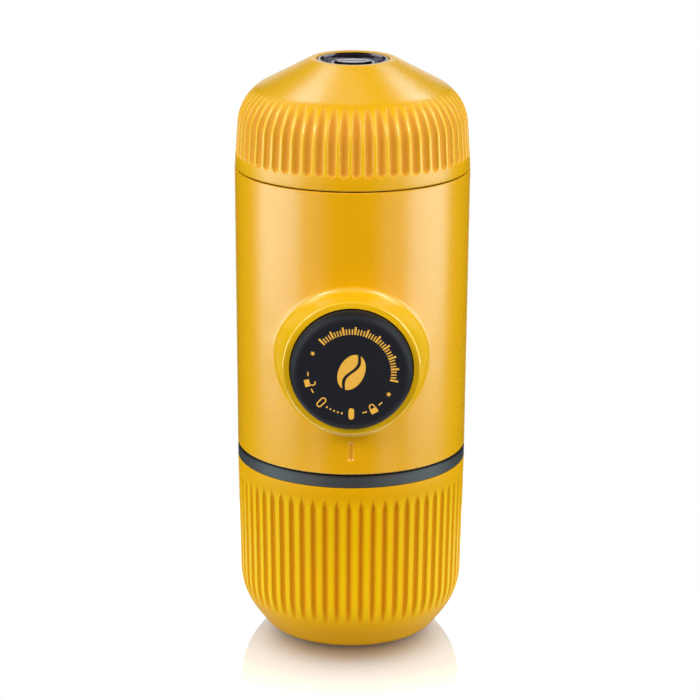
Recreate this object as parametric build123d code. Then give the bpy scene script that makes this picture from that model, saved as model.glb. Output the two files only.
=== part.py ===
from build123d import *
import math
import os

# A handheld manual espresso maker, stored upright: water tank below, pump body in the
# middle with its piston facing -Y, drinking cup upside down on top.
# Millimetres, +Z up, origin on the long axis at the level the tank stands on.

# ---------------------------------------------------------------- driving dimensions

# overall form
MAKER_HEIGHT = 156.0
CUP_HEIGHT = 28.8
BODY_HEIGHT = 75.4
BODY_TOP_R = 31.0
BODY_TAPER = 0.45
BODY_WALL = 2.6
SEAM_ROUND = 0.4
SEAM_CHAMFER = 0.2
FLUTES = 60

# general clearances
SLIDE_GAP = 0.3          # between round faces of pieces that move past each other
FIT_GAP = 0.05           # between a pin or plug and its hole
CORE_GAP = 0.2           # between the inner assembly and the body's bore

# drinking cup
CUP_SEAM = 0.35
SEAM_DEPTH = 1.4
CUP_WALL = 2.2
CUP_DRAFT = 3.74
CUP_SLOPE = 28.1
CUP_SHOULDER_R = 12.56
CUP_RIM_R = 11.2
CUP_RIM_ROUND = 0.5
CUP_BORE_STEP = 0.35
CUP_BORE_DEPTH = 5.0
CUP_FLUTE_R = 1.26
CUP_FLUTE_DEPTH = 0.75
CUP_FLUTE_START = 3.6
CUP_FLUTE_FADE = 53.0
CUP_FLUTE_OVERRUN = 6.0
CUP_FLUTE_TURN = 1.9

# badge in the cup's foot
BADGE_RIM = 1.6
BADGE_RECESS = 2.6
BADGE_THICK = 2.4
BADGE_EDGE = 0.4
BADGE_LAND = 1.3
BADGE_BOWL_DEPTH = 1.5
BADGE_RING_R = 5.6
BADGE_RING = 0.5
BEAN_LENGTH = 8.6
BEAN_WIDTH = 5.6
BEAN_HEIGHT = 1.0
BEAN_SLOT = 0.7

# water tank
TANK_SEAM = 0.55
TANK_STEP = 0.05
TANK_DRAFT = 1.09
TANK_FOOT_STEP = 8.5
TANK_FLARE = 52.2
TANK_SHOULDER_R = 18.9
TANK_HEEL_R = 5.0
TANK_WALL = 2.5
TANK_BORE_STEP = 3.1
TANK_SPIGOT_WALL = 1.2
TANK_BORE_DEPTH = 10.0
TANK_FLUTE_R = 0.82
TANK_FLUTE_DEPTH = 0.65
TANK_FLUTE_TOP = 5.4
TANK_FLUTE_FOOT = 9.0
TANK_FLUTE_TURN = -0.9
RING_HEIGHT = 3.2
RING_CHAMFER = 0.25
GASKET_WIDTH = 2.6
GASKET_INSET = 0.75

# screw threads of the tank and of the coffee holder
THREAD_PITCH = 4.0
THREAD_TURNS = 1.25
THREAD_ROOT_WIDTH = 1.7
THREAD_CREST_WIDTH = 0.9
THREAD_HEIGHT = 1.0
THREAD_GAP = 0.5

# tank neck
NECK_PLATE = 5.0
NECK_LENGTH = 12.0
NECK_WALL = 2.5
NECK_RIDGE_RISE = 2.5
NECK_INSET = 0.2

# piston and its boss on the body
PISTON_DROP = 44.7
PISTON_REACH = 40.0
PISTON_R = 15.7
PISTON_ROUND = 2.2
PISTON_WALL = 1.6
PISTON_FACE = 3.0
PISTON_LENGTH = 27.0
PISTON_DISH_R = 13.2
PISTON_DISH = 0.45
STROKE = 20.0
UNLOCK_TURN = 45.0
BOSS_REACH = 36.5
BOSS_WALL = 1.75
BOSS_SLOPE = 9.5
BOSS_ROOT_ROUND = 2.0
BOSS_RIM_ROUND = 0.55
SLEEVE_END = 21.8
WIPER_SETBACK = 2.3
WIPER_WIDTH = 2.2
WIPER_DEPTH = 1.0

# index notch below the boss
NOTCH_DROP = 26.2
NOTCH_STAND = 0.43
NOTCH_R = 1.1
NOTCH_LENGTH = 3.8
NOTCH_TILT = 3.5

# pump
ROD_R = 4.0
ROD_STUD_R = 2.0
ROD_STUD = 6.0
HUB_R = 6.5
HUB_LENGTH = 6.0
HEAD_LENGTH = 8.0
HEAD_ROOM = 2.0
HEAD_CHAMFER = 0.5
O_RING_R = 0.95
CYLINDER_BORE_R = 8.5
CYLINDER_R = 11.0
CYLINDER_FRONT = 30.0
CYLINDER_CHAMFER = 0.4
CYLINDER_FLANGE_R = 15.0
CYLINDER_FLANGE = 3.0
SPRING_WIRE_R = 0.6
SPRING_R = 12.7
SPRING_TURNS = 7
SEAT_THICK = 0.8
LOCK_RING_WALL = 1.9
LOCK_RING_THICK = 3.0
LOCK_TOOTH = 14.0
LOCK_TOOTH_LENGTH = 7.0
LOCK_SPARE = 1.0
LOCK_TEETH = 3

# frame inside the body
FRAME_FLOOR = 3.0
FRAME_ROOF = 4.4
WEB_FRONT = 6.0
WEB_BACK = 2.0
WEB_INSET = 6.2
BARREL_WALL = 1.8
FRAME_POST_R = 3.2
FRAME_POST = 4.0

# valve block behind the cylinder
BLOCK_THICK = 10.0
BLOCK_INSET = 6.2
BLOCK_HALF = 15.0
BLOCK_ROUND = 4.0
STEM_HALF_WIDTH = 6.0
VALVE_BORE_R = 3.4
VALVE_PORT_R = 1.5
CHAMBER_PORT_R = 2.5
VALVE_FLOOR = 3.0
SEAT_LENGTH = 3.5
SEAT_HOLE_R = 1.3
BALL_R = 2.2
VALVE_WIRE_R = 0.22
VALVE_SPRING_R = 1.5
VALVE_SPRING_TURNS = 5
INLET_SPRING = 5.4
RETAINER_THICK = 1.0
OUTLET_RISE = 3.5
OUTLET_SPRING = 5.0
TIE_OFFSET = 11.8
TIE_R = 1.25
TIE_HEAD_R = 2.2
TIE_HEAD = 2.0
CHAMBER_SEAL_R = 9.7
CHAMBER_SEAL_WIRE = 0.6

# screws, shared by the neck and the brew head
SCREW_R = 1.25
SCREW_HEAD_R = 2.2
SCREW_HEAD = 1.6
NECK_SCREW_INSET = 4.4
NECK_SCREW_LENGTH = 9.5
BREW_SCREW_INSET = 3.0
BREW_SCREW_LENGTH = 5.6

# brew head
BREW_PLATE = 5.0
COLLAR_RISE = 4.0
COLLAR_LENGTH = 21.2
COLLAR_WALL = 1.6
COLLAR_RIDGE_RISE = 7.0
CUP_SEAL_WIRE = 0.7
CUP_SEAL_STAND = 0.25
CUP_SEAL_DROP = 2.2
SCREEN_MARGIN = 1.5
SCREEN_EDGE = 2.0
SCREEN_THICK = 0.6
SCREEN_HOLE_R = 0.55
SCREEN_HOLE_PITCH = 3.4
SCREEN_LEDGE = 1.4
CAVITY_DEPTH = 1.0
POST_R = 2.6
HEAD_GASKET_WIDTH = 2.4
HEAD_GASKET = 1.8
WATER_PORT_R = 1.0
WATER_DUCT_R = 0.8
WATER_PORT_Y = 6.0

# filter basket
BASKET_LEDGE = 2.3
BASKET_WALL = 0.6
BASKET_DEPTH = 14.2
BASKET_RIM = 0.8
BASKET_ROUND = 2.0
BASKET_HOLE_R = 0.5
BASKET_HOLE_PITCH = 2.9

# coffee holder
HOLDER_SKIRT_LIFT = 0.4
HOLDER_WALL = 2.5
HOLDER_FLANGE_INSET = 2.0
HOLDER_FLANGE = 3.0
HOLDER_DOME = 6.0
HOLDER_SPOUT_R = 6.0
HOLDER_ROOM = 1.5
HOLDER_CEILING = 6.0
HOLDER_GRIPS = 24
HOLDER_GRIP_R = 1.6
NOZZLE_R = 3.0
NOZZLE_BORE_R = 1.2
NOZZLE_FLANGE_R = 4.6
NOZZLE_FLANGE = 1.5
NOZZLE_LENGTH = 8.0
NOZZLE_ROUND = 0.6

# water path between tank, valve block and brew head
BUSH_R = 3.4
BUSH_BORE_R = 1.4
BUSH_SINK = 3.0
DELIVERY_SINK = 1.0
STRAINER_R = 5.0
STRAINER_THICK = 1.2
STRAINER_HOLE_R = 0.5
STRAINER_HOLE_PITCH = 1.9
VENT_Y = -11.0
VENT_R = 1.95
VENT_BORE_R = 1.1
VENT_SINK = 4.0
VENT_FOOT_Z = 14.0
DUCKBILL_R = 2.9
DUCKBILL_SLEEVE = 4.0
DUCKBILL_TIP = 4.0
DUCKBILL_LIP = 0.9

# ---------------------------------------------------------------- worked-out places

BODY_TOP_Z = MAKER_HEIGHT - CUP_HEIGHT
BODY_FOOT_Z = BODY_TOP_Z - BODY_HEIGHT
BODY_FOOT_R = BODY_TOP_R - BODY_TAPER
BODY_BORE_R = BODY_TOP_R - BODY_WALL
CORE_R = BODY_BORE_R - CORE_GAP
CUP_FOOT_Z = BODY_TOP_Z + CUP_SEAM
CUP_BORE_R = BODY_BORE_R + CUP_BORE_STEP
BADGE_R = CUP_RIM_R - BADGE_RIM
BADGE_BOWL_R = BADGE_R - BADGE_LAND
RING_TOP_Z = BODY_FOOT_Z - TANK_SEAM
TANK_TOP_Z = RING_TOP_Z - RING_HEIGHT
TANK_TOP_R = BODY_FOOT_R - TANK_STEP
TANK_FOOT_R = TANK_TOP_R - TANK_FOOT_STEP
TANK_BORE_R = TANK_TOP_R - TANK_BORE_STEP
PISTON_Z = BODY_TOP_Z - PISTON_DROP
NOTCH_Z = PISTON_Z - NOTCH_DROP
BOSS_BORE_R = PISTON_R + SLIDE_GAP
BOSS_R = BOSS_BORE_R + BOSS_WALL
BARREL_R = BOSS_BORE_R + BARREL_WALL
PISTON_TAIL = PISTON_REACH - PISTON_LENGTH
PISTON_INNER_R = PISTON_R - PISTON_WALL
CAP_FLOOR = PISTON_REACH - PISTON_FACE
BLOCK_BACK = CORE_R - BLOCK_INSET
CYLINDER_BACK = BLOCK_BACK - BLOCK_THICK
VALVE_Y = CYLINDER_BACK + BLOCK_THICK / 2
HEAD_BACK = CYLINDER_BACK - HEAD_ROOM
HEAD_FRONT = HEAD_LENGTH - HEAD_BACK
BUSH_BACK = HEAD_FRONT + STROKE + SLIDE_GAP
HEAD_R = CYLINDER_BORE_R - SLIDE_GAP
NECK_FOOT_Z = BODY_FOOT_Z + NECK_INSET
NECK_R = TANK_BORE_R - THREAD_HEIGHT - THREAD_GAP
NECK_BORE_R = NECK_R - NECK_WALL
NECK_SCREW_RING = NECK_BORE_R - NECK_SCREW_INSET
COLLAR_TOP_Z = BODY_TOP_Z + COLLAR_RISE
BREW_TOP_Z = COLLAR_TOP_Z - COLLAR_LENGTH
FRAME_FLAT = SLEEVE_END - SLIDE_GAP
FRAME_FLOOR_Z = NECK_FOOT_Z + NECK_PLATE
STEM_FOOT_Z = FRAME_FLOOR_Z + FRAME_FLOOR
FRAME_TOP_Z = BREW_TOP_Z - BREW_PLATE
FRAME_ROOF_Z = FRAME_TOP_Z - FRAME_ROOF
WEB_HALF_WIDTH = CORE_R - WEB_INSET
COLLAR_BORE_R = CORE_R - COLLAR_WALL
HOLDER_R = COLLAR_BORE_R - THREAD_HEIGHT - THREAD_GAP
HOLDER_FLANGE_R = BODY_BORE_R - HOLDER_FLANGE_INSET
HEAD_GASKET_OUT = HOLDER_R - HOLDER_WALL - SLIDE_GAP
HEAD_GASKET_IN = HEAD_GASKET_OUT - HEAD_GASKET_WIDTH
BASKET_R = HEAD_GASKET_OUT - BASKET_LEDGE
SCREEN_R = HEAD_GASKET_IN - SCREEN_MARGIN
CAVITY_R = SCREEN_R - SCREEN_LEDGE
BREW_SCREW_RING = CAVITY_R - BREW_SCREW_INSET
BASKET_RIM_Z = BREW_TOP_Z + HEAD_GASKET
BASKET_LEDGE_Z = BASKET_RIM_Z + BASKET_RIM
BASKET_TOP_Z = BASKET_RIM_Z + BASKET_DEPTH
FLANGE_FOOT_Z = COLLAR_TOP_Z + HOLDER_SKIRT_LIFT
FLANGE_TOP_Z = FLANGE_FOOT_Z + HOLDER_FLANGE
SPOUT_Z = FLANGE_TOP_Z + HOLDER_DOME
INLET_SEAT_Z = STEM_FOOT_Z + VALVE_FLOOR
BALL_RISE = math.sqrt(BALL_R**2 - SEAT_HOLE_R**2) + FIT_GAP
OUTLET_SEAT_Z = PISTON_Z + OUTLET_RISE
INLET_BALL_Z = INLET_SEAT_Z + SEAT_LENGTH + BALL_RISE
OUTLET_BALL_Z = OUTLET_SEAT_Z + SEAT_LENGTH + BALL_RISE
DELIVERY_FOOT_Z = OUTLET_BALL_Z + BALL_R + OUTLET_SPRING
FRONT = Location(Plane(origin=(0, 0, PISTON_Z), x_dir=(1, 0, 0), z_dir=(0, -1, 0)))

# ---------------------------------------------------------------- shape helpers


def disc(radius, low, high, x=0, y=0):
    """Upright cylinder between two levels."""
    return Pos(x, y, (low + high) / 2) * Cylinder(radius, high - low)


def ring(inner, outer, low, high, x=0, y=0):
    """Upright tube between two levels."""
    return disc(outer, low, high, x, y) - disc(inner, low - 1, high + 1, x, y)


def block(x_size, y_low, y_high, z_low, z_high):
    """Box centred on x = 0 between two depths and two levels."""
    place = Pos(0, (y_low + y_high) / 2, (z_low + z_high) / 2)
    return place * Box(x_size, y_high - y_low, z_high - z_low)


def turned(points, radii=None):
    """Solid turned about Z from an outline of (radius, height) corners, with rounded corners."""
    corners = [(r, 0, z) for r, z in points]
    if radii:
        line = FilletPolyline(*corners, radius=radii, close=False)
        line = line + Line(corners[-1], corners[0])
    else:
        line = Polyline(*corners, close=True)
    return revolve(make_face(line), Axis.Z)


def torus(radius, wire, z):
    """O-ring of round section lying level at height z."""
    return Pos(0, 0, z) * Torus(radius, wire)


def around(shape, count, start=0.0):
    """Copies of a shape spaced evenly about the Z axis."""
    return [Rot(0, 0, start + 360 / count * i) * shape for i in range(count)]


def meet(point_a, angle_a, point_b, angle_b):
    """Where two lines cross, each given by a point and its angle in degrees."""
    ax, ay = point_a
    bx, by = point_b
    ux, uy = math.cos(math.radians(angle_a)), math.sin(math.radians(angle_a))
    vx, vy = math.cos(math.radians(angle_b)), math.sin(math.radians(angle_b))
    reach = ((bx - ax) * vy - (by - ay) * vx) / (ux * vy - uy * vx)
    return ax + ux * reach, ay + uy * reach


def shifted(point, angle, inset):
    """Point moved by inset to the left of the given direction."""
    turn = math.radians(angle + 90)
    return point[0] + inset * math.cos(turn), point[1] + inset * math.sin(turn)


def hex_grid(pitch, reach):
    """Centres of a triangular grid of holes inside a circle, without the middle one."""
    rows = int(reach / pitch) + 2
    spots = []
    for row in range(-rows, rows + 1):
        for col in range(-rows, rows + 1):
            x = pitch * (col + row / 2)
            y = pitch * row * math.sqrt(3) / 2
            if 0.5 * pitch < math.hypot(x, y) <= reach:
                spots.append((x, y))
    return spots


def thread_ridge(root_r, crest_r, start_z):
    """Right-hand helical ridge, sunk a little into the wall that carries it."""
    path = Pos(0, 0, start_z) * Helix(THREAD_PITCH, THREAD_PITCH * THREAD_TURNS, root_r)
    side = 1 if crest_r > root_r else -1
    height = abs(crest_r - root_r)
    section = Plane(origin=path @ 0, x_dir=(side, 0, 0), z_dir=path % 0)
    outline = Polyline(
        (-0.3, -THREAD_ROOT_WIDTH / 2),
        (height, -THREAD_CREST_WIDTH / 2),
        (height, THREAD_CREST_WIDTH / 2),
        (-0.3, THREAD_ROOT_WIDTH / 2),
        close=True,
    )
    return sweep(section * make_face(outline), path=path, is_frenet=True)


def coil(radius, wire, length, turns, place):
    """Open helical spring of round wire, standing on the origin of its place."""
    rise = length - 2 * wire
    path = Pos(0, 0, wire) * Helix(rise / turns, rise, radius)
    section = Plane(origin=path @ 0, x_dir=(1, 0, 0), z_dir=path % 0)
    return place * sweep(section * Circle(wire), path=path, is_frenet=True)


def screw(head_z, length, x, y, head_up):
    """Pan-head screw; the shank runs away from the head."""
    way = 1 if head_up else -1
    head = sorted((head_z, head_z + way * SCREW_HEAD))
    shank = sorted((head_z, head_z - way * length))
    return disc(SCREW_HEAD_R, *head, x, y) + disc(SCREW_R, *shank, x, y)


def on_circle(radius, angles):
    """Points on a circle at the given angles in degrees."""
    return [(radius * math.cos(math.radians(a)), radius * math.sin(math.radians(a))) for a in angles]


# ---------------------------------------------------------------- drinking cup


def cup_corners(inset):
    """Foot, shoulder corner and foot-rim corner of the cup's wall, moved in by inset."""
    wall_angle = 90 + CUP_DRAFT
    slope_angle = 180 - CUP_SLOPE
    wall = shifted((BODY_TOP_R, BODY_TOP_Z), wall_angle, inset)
    slope = shifted((CUP_RIM_R, MAKER_HEIGHT), slope_angle, inset)
    return wall, meet(wall, wall_angle, slope, slope_angle), slope


def cup_flute():
    """One flute's cutter: a round bar that follows the wall and leaves it on the shoulder."""
    wall, corner, _ = cup_corners(0)
    lean = math.radians(CUP_DRAFT)
    normal = (math.cos(lean), math.sin(lean))
    along = (-math.sin(lean), math.cos(lean))
    tangent = CUP_SHOULDER_R * math.tan(math.radians(90 - CUP_DRAFT - CUP_SLOPE) / 2)
    bend = (corner[0] - along[0] * tangent, corner[1] - along[1] * tangent)
    centre = (bend[0] - normal[0] * CUP_SHOULDER_R, bend[1] - normal[1] * CUP_SHOULDER_R)
    fade = math.radians(CUP_FLUTE_FADE)
    leave = (centre[0] + CUP_SHOULDER_R * math.cos(fade), centre[1] + CUP_SHOULDER_R * math.sin(fade))
    floor = (bend[0] - normal[0] * CUP_FLUTE_DEPTH, bend[1] - normal[1] * CUP_FLUTE_DEPTH)
    step = (leave[0] - floor[0], leave[1] - floor[1])
    inward = -(step[0] * normal[0] + step[1] * normal[1])
    floor_r = (step[0] ** 2 + step[1] ** 2) / (2 * inward)
    hub = (floor[0] - normal[0] * floor_r, floor[1] - normal[1] * floor_r)
    path_r = floor_r + CUP_FLUTE_R
    top = (hub[0] + normal[0] * path_r, hub[1] + normal[1] * path_r)
    drop = top[1] - (BODY_TOP_Z + CUP_FLUTE_START + CUP_FLUTE_R)
    foot = (top[0] - along[0] * drop, top[1] - along[1] * drop)
    bend_angle = CUP_FLUTE_FADE - CUP_DRAFT + CUP_FLUTE_OVERRUN
    path = Plane.XZ * (Line(foot, top) + CenterArc(hub, path_r, CUP_DRAFT, bend_angle))
    section = Plane(origin=(foot[0], 0, foot[1]), z_dir=(along[0], 0, along[1]))
    bar = sweep(section * Circle(CUP_FLUTE_R), path=path)
    return bar + Pos(foot[0], 0, foot[1]) * Sphere(CUP_FLUTE_R)


def make_cup_shell():
    wall, corner, slope = cup_corners(0)
    outer = turned(
        [(0, CUP_FOOT_Z), (BODY_TOP_R, CUP_FOOT_Z), corner, (CUP_RIM_R, MAKER_HEIGHT), (0, MAKER_HEIGHT)],
        [0.3, CUP_SHOULDER_R, CUP_RIM_ROUND],
    )
    inner_wall, inner_corner, inner_slope = cup_corners(CUP_WALL)
    ceiling = MAKER_HEIGHT - BADGE_RECESS - CUP_WALL
    low = meet(inner_wall, 90 + CUP_DRAFT, (0, BODY_TOP_Z - 1), 0)
    high = meet(inner_slope, 180 - CUP_SLOPE, (0, ceiling), 0)
    hollow = turned(
        [(0, BODY_TOP_Z - 1), low, inner_corner, high, (0, ceiling)],
        [0, CUP_SHOULDER_R - CUP_WALL, 1.0],
    )
    recess = disc(BADGE_R + FIT_GAP, MAKER_HEIGHT - BADGE_RECESS, MAKER_HEIGHT + 1)
    foot = ring(CUP_BORE_R, BODY_TOP_R - SEAM_DEPTH, BODY_TOP_Z, CUP_FOOT_Z + CUP_BORE_DEPTH)
    cup = outer - hollow - recess + foot
    cup = cup - disc(CUP_BORE_R, BODY_TOP_Z - 1, CUP_FOOT_Z + CUP_BORE_DEPTH)
    front = Rot(0, 0, -90 + CUP_FLUTE_TURN) * cup_flute()
    return cup - around(front, FLUTES)


def make_cup_badge():
    low = MAKER_HEIGHT - BADGE_RECESS
    top = low + BADGE_THICK
    floor = top - BADGE_BOWL_DEPTH
    badge = disc(BADGE_R, low, top) - disc(BADGE_BOWL_R, floor, top + 1)
    badge = chamfer(badge.edges().group_by(Axis.Z)[-1], BADGE_EDGE)
    badge = badge + ring(BADGE_RING_R - BADGE_RING, BADGE_RING_R, floor, floor + BADGE_RING)
    bean = Pos(0, 0, floor) * extrude(Ellipse(BEAN_LENGTH / 2, BEAN_WIDTH / 2), BEAN_HEIGHT)
    slot = Pos(0, 0, floor + BEAN_HEIGHT) * Box(BEAN_LENGTH * 0.8, BEAN_SLOT, BEAN_HEIGHT)
    return badge + (bean - slot)


# ---------------------------------------------------------------- body shell


def make_body_shell():
    shell = turned([(0, BODY_FOOT_Z), (BODY_FOOT_R, BODY_FOOT_Z), (BODY_TOP_R, BODY_TOP_Z), (0, BODY_TOP_Z)])
    spread = math.tan(math.radians(BOSS_SLOPE)) * BOSS_REACH
    boss = FRONT * Pos(0, 0, BOSS_REACH / 2) * Cone(BOSS_R + spread, BOSS_R, BOSS_REACH)
    outer = shell + boss
    meeting = outer.edges().filter_by(GeomType.BSPLINE)
    outer = fillet(meeting, BOSS_ROOT_ROUND)
    outer = fillet(outer.edges().group_by(Axis.Y)[0], BOSS_RIM_ROUND)
    outer = fillet(outer.edges().group_by(Axis.Z)[0], SEAM_ROUND)
    outer = chamfer(outer.edges().group_by(Axis.Z)[-1], SEAM_CHAMFER)
    outer = outer - disc(BODY_BORE_R, BODY_FOOT_Z - 1, BODY_TOP_Z + 1)
    outer = outer + FRONT * ring(BOSS_BORE_R, BARREL_R, SLEEVE_END, BOSS_REACH - 3)
    outer = outer - FRONT * disc(BOSS_BORE_R, SLEEVE_END - 5, BOSS_REACH + 5)
    wiper_front = BOSS_REACH - WIPER_SETBACK
    outer = outer - FRONT * disc(BOSS_BORE_R + WIPER_DEPTH, wiper_front - WIPER_WIDTH, wiper_front)
    return outer - index_notch()


def index_notch():
    """Cutter for the upright groove under the boss, deepest at its foot, with round ends."""
    stem = Pos(0, 0, NOTCH_LENGTH / 2) * Cylinder(NOTCH_R, NOTCH_LENGTH)
    stem = stem + Sphere(NOTCH_R) + Pos(0, 0, NOTCH_LENGTH) * Sphere(NOTCH_R)
    return Pos(0, -BODY_FOOT_R - NOTCH_STAND, NOTCH_Z) * Rot(NOTCH_TILT, 0, 0) * stem


def make_piston_wiper():
    front = BOSS_REACH - WIPER_SETBACK
    return FRONT * ring(PISTON_R + FIT_GAP, BOSS_BORE_R + WIPER_DEPTH, front - WIPER_WIDTH, front)


# ---------------------------------------------------------------- piston


def make_piston_cap():
    cap = turned(
        [(0, PISTON_TAIL), (PISTON_R, PISTON_TAIL), (PISTON_R, PISTON_REACH), (0, PISTON_REACH)],
        [0.2, PISTON_ROUND],
    )
    cap = cap - disc(PISTON_INNER_R, PISTON_TAIL - 1, CAP_FLOOR)
    dish_r = (PISTON_DISH_R**2 + PISTON_DISH**2) / (2 * PISTON_DISH)
    cap = cap - Pos(0, 0, PISTON_REACH - PISTON_DISH + dish_r) * Sphere(dish_r)
    cap = cap + ring(ROD_R + FIT_GAP, HUB_R, CAP_FLOOR - HUB_LENGTH, CAP_FLOOR)
    notch_angle = UNLOCK_TURN + LOCK_TOOTH + 2 * LOCK_SPARE
    depth = PISTON_TAIL - 1, PISTON_TAIL + LOCK_TOOTH_LENGTH - LOCK_RING_THICK
    notch = ring_sector(PISTON_INNER_R - 1, PISTON_R + 1, *depth, notch_angle)
    return FRONT * (cap - around(Rot(0, 0, -UNLOCK_TURN / 2) * notch, LOCK_TEETH, 90))


def ring_sector(inner, outer, low, high, angle):
    """Part of a tube, centred on the x axis and spanning the given angle."""
    face = make_face(Polyline((inner, 0, low), (outer, 0, low), (outer, 0, high), (inner, 0, high), close=True))
    return Rot(0, 0, -angle / 2) * revolve(face, Axis.Z, revolution_arc=angle)


def make_lock_ring():
    outer = BOSS_BORE_R - FIT_GAP
    body = ring(outer - LOCK_RING_WALL, outer, WEB_FRONT, WEB_FRONT + LOCK_RING_THICK)
    tip = PISTON_TAIL + LOCK_TOOTH_LENGTH - LOCK_RING_THICK - 1
    tooth = ring_sector(outer - LOCK_RING_WALL, PISTON_R, WEB_FRONT + 1, tip, LOCK_TOOTH)
    return FRONT * (body + around(tooth, LOCK_TEETH, 90))


def make_piston_rod():
    return FRONT * (disc(ROD_R, HEAD_FRONT, CAP_FLOOR) + disc(ROD_STUD_R, HEAD_FRONT - ROD_STUD, HEAD_FRONT))


def make_piston_head():
    middle = -HEAD_BACK + HEAD_LENGTH / 2
    head = disc(HEAD_R, -HEAD_BACK, HEAD_FRONT)
    head = chamfer(head.edges(), HEAD_CHAMFER)
    groove_r = CYLINDER_BORE_R - FIT_GAP - 2 * O_RING_R - FIT_GAP
    groove = ring(groove_r, HEAD_R + 1, middle - O_RING_R - FIT_GAP, middle + O_RING_R + FIT_GAP)
    hole = disc(ROD_STUD_R + FIT_GAP, HEAD_FRONT - ROD_STUD - FIT_GAP, HEAD_FRONT + 1)
    return FRONT * (head - groove - hole)


def make_piston_o_ring():
    middle = -HEAD_BACK + HEAD_LENGTH / 2
    return FRONT * torus(CYLINDER_BORE_R - FIT_GAP - O_RING_R, O_RING_R, middle)


def make_spring_seat():
    return FRONT * ring(HUB_R + SLIDE_GAP, PISTON_INNER_R - SLIDE_GAP, CAP_FLOOR - SEAT_THICK, CAP_FLOOR)


def make_piston_spring():
    length = CAP_FLOOR - SEAT_THICK - WEB_FRONT
    return coil(SPRING_R, SPRING_WIRE_R, length, SPRING_TURNS, FRONT * Pos(0, 0, WEB_FRONT))


# ---------------------------------------------------------------- pump


def make_pump_cylinder():
    tube = disc(CYLINDER_R, -CYLINDER_BACK, CYLINDER_FRONT)
    tube = tube + disc(CYLINDER_FLANGE_R, WEB_BACK - CYLINDER_FLANGE, WEB_BACK)
    tube = tube - disc(CYLINDER_BORE_R, -CYLINDER_BACK - 1, CYLINDER_FRONT + 1)
    return FRONT * chamfer(tube.edges().group_by(Axis.Z)[-1], CYLINDER_CHAMFER)


def make_rod_bush():
    return FRONT * ring(ROD_R + FIT_GAP, CYLINDER_BORE_R - FIT_GAP, BUSH_BACK, CYLINDER_FRONT)


def make_pump_frame():
    web_y = -WEB_FRONT, -WEB_BACK
    frame = disc(CORE_R, FRAME_FLOOR_Z, STEM_FOOT_Z) + disc(CORE_R, FRAME_ROOF_Z, FRAME_TOP_Z)
    frame = frame + block(2 * WEB_HALF_WIDTH, *web_y, FRAME_FLOOR_Z, FRAME_TOP_Z)
    frame = frame - block(4 * CORE_R, -2 * CORE_R, -FRAME_FLAT, FRAME_FLOOR_Z - 1, FRAME_TOP_Z + 1)
    frame = frame + FRONT * ring(BOSS_BORE_R, BARREL_R, WEB_FRONT - 1, FRAME_FLAT)
    for x, y in neck_screw_spots():
        frame = frame + disc(FRAME_POST_R, STEM_FOOT_Z - 1, STEM_FOOT_Z + FRAME_POST, x, y)
    frame = frame - FRONT * disc(CYLINDER_R + FIT_GAP, WEB_BACK - 1, WEB_FRONT + 1)
    for x, y in neck_screw_spots():
        frame = frame - disc(SCREW_R + FIT_GAP, FRAME_FLOOR_Z - 1, STEM_FOOT_Z + FRAME_POST + 1, x, y)
    for x, y in brew_screw_spots():
        frame = frame - disc(SCREW_R + FIT_GAP, FRAME_ROOF_Z - 1, FRAME_TOP_Z + 1, x, y)
    for x, z in tie_spots():
        frame = frame - FRONT * disc(TIE_R + FIT_GAP, WEB_BACK - 1, WEB_FRONT + 1, x, z)
    return frame - disc(BUSH_R + FIT_GAP, FRAME_FLOOR_Z - 1, FRAME_TOP_Z + 1, 0, VALVE_Y)


def tie_spots():
    """Tie bolt centres around the cylinder, as seen from the front."""
    return [(TIE_OFFSET * a, TIE_OFFSET * b) for a in (-1, 1) for b in (-1, 1)]


def neck_screw_spots():
    return on_circle(NECK_SCREW_RING, (30, 150, 270))


def brew_screw_spots():
    return on_circle(BREW_SCREW_RING, (30, 150, 270))


def make_valve_block():
    half = BLOCK_HALF
    body = block(2 * half, CYLINDER_BACK, BLOCK_BACK, PISTON_Z - half, PISTON_Z + half)
    body = fillet(body.edges().filter_by(Axis.Y), BLOCK_ROUND)
    body = body + block(2 * STEM_HALF_WIDTH, CYLINDER_BACK, BLOCK_BACK, STEM_FOOT_Z, FRAME_ROOF_Z)
    body = body - disc(VALVE_BORE_R, INLET_SEAT_Z, FRAME_ROOF_Z + 1, 0, VALVE_Y)
    body = body - disc(VALVE_PORT_R, STEM_FOOT_Z - 1, INLET_SEAT_Z + 1, 0, VALVE_Y)
    body = body - FRONT * disc(CHAMBER_PORT_R, -VALVE_Y, -CYLINDER_BACK + 1)
    seal = CHAMBER_SEAL_WIRE + FIT_GAP
    groove_depth = 2 * CHAMBER_SEAL_WIRE
    groove = ring(CHAMBER_SEAL_R - seal, CHAMBER_SEAL_R + seal, -CYLINDER_BACK - groove_depth, -CYLINDER_BACK + 1)
    body = body - FRONT * groove
    for x, z in tie_spots():
        body = body - FRONT * disc(TIE_R + FIT_GAP, -BLOCK_BACK - 1, -CYLINDER_BACK + 1, x, z)
    return body


def make_chamber_seal():
    return FRONT * torus(CHAMBER_SEAL_R, CHAMBER_SEAL_WIRE, -CYLINDER_BACK - CHAMBER_SEAL_WIRE)


def make_tie_bolts():
    bolts = []
    for x, z in tie_spots():
        head = disc(TIE_HEAD_R, -BLOCK_BACK - TIE_HEAD, -BLOCK_BACK, x, z)
        bolts.append(FRONT * (head + disc(TIE_R, -BLOCK_BACK, WEB_FRONT, x, z)))
    return Compound(bolts)


def valve_seat(foot_z):
    return ring(SEAT_HOLE_R, VALVE_BORE_R - FIT_GAP, foot_z, foot_z + SEAT_LENGTH, 0, VALVE_Y)


def valve_ball(ball_z):
    return Pos(0, VALVE_Y, ball_z) * Sphere(BALL_R)


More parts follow.
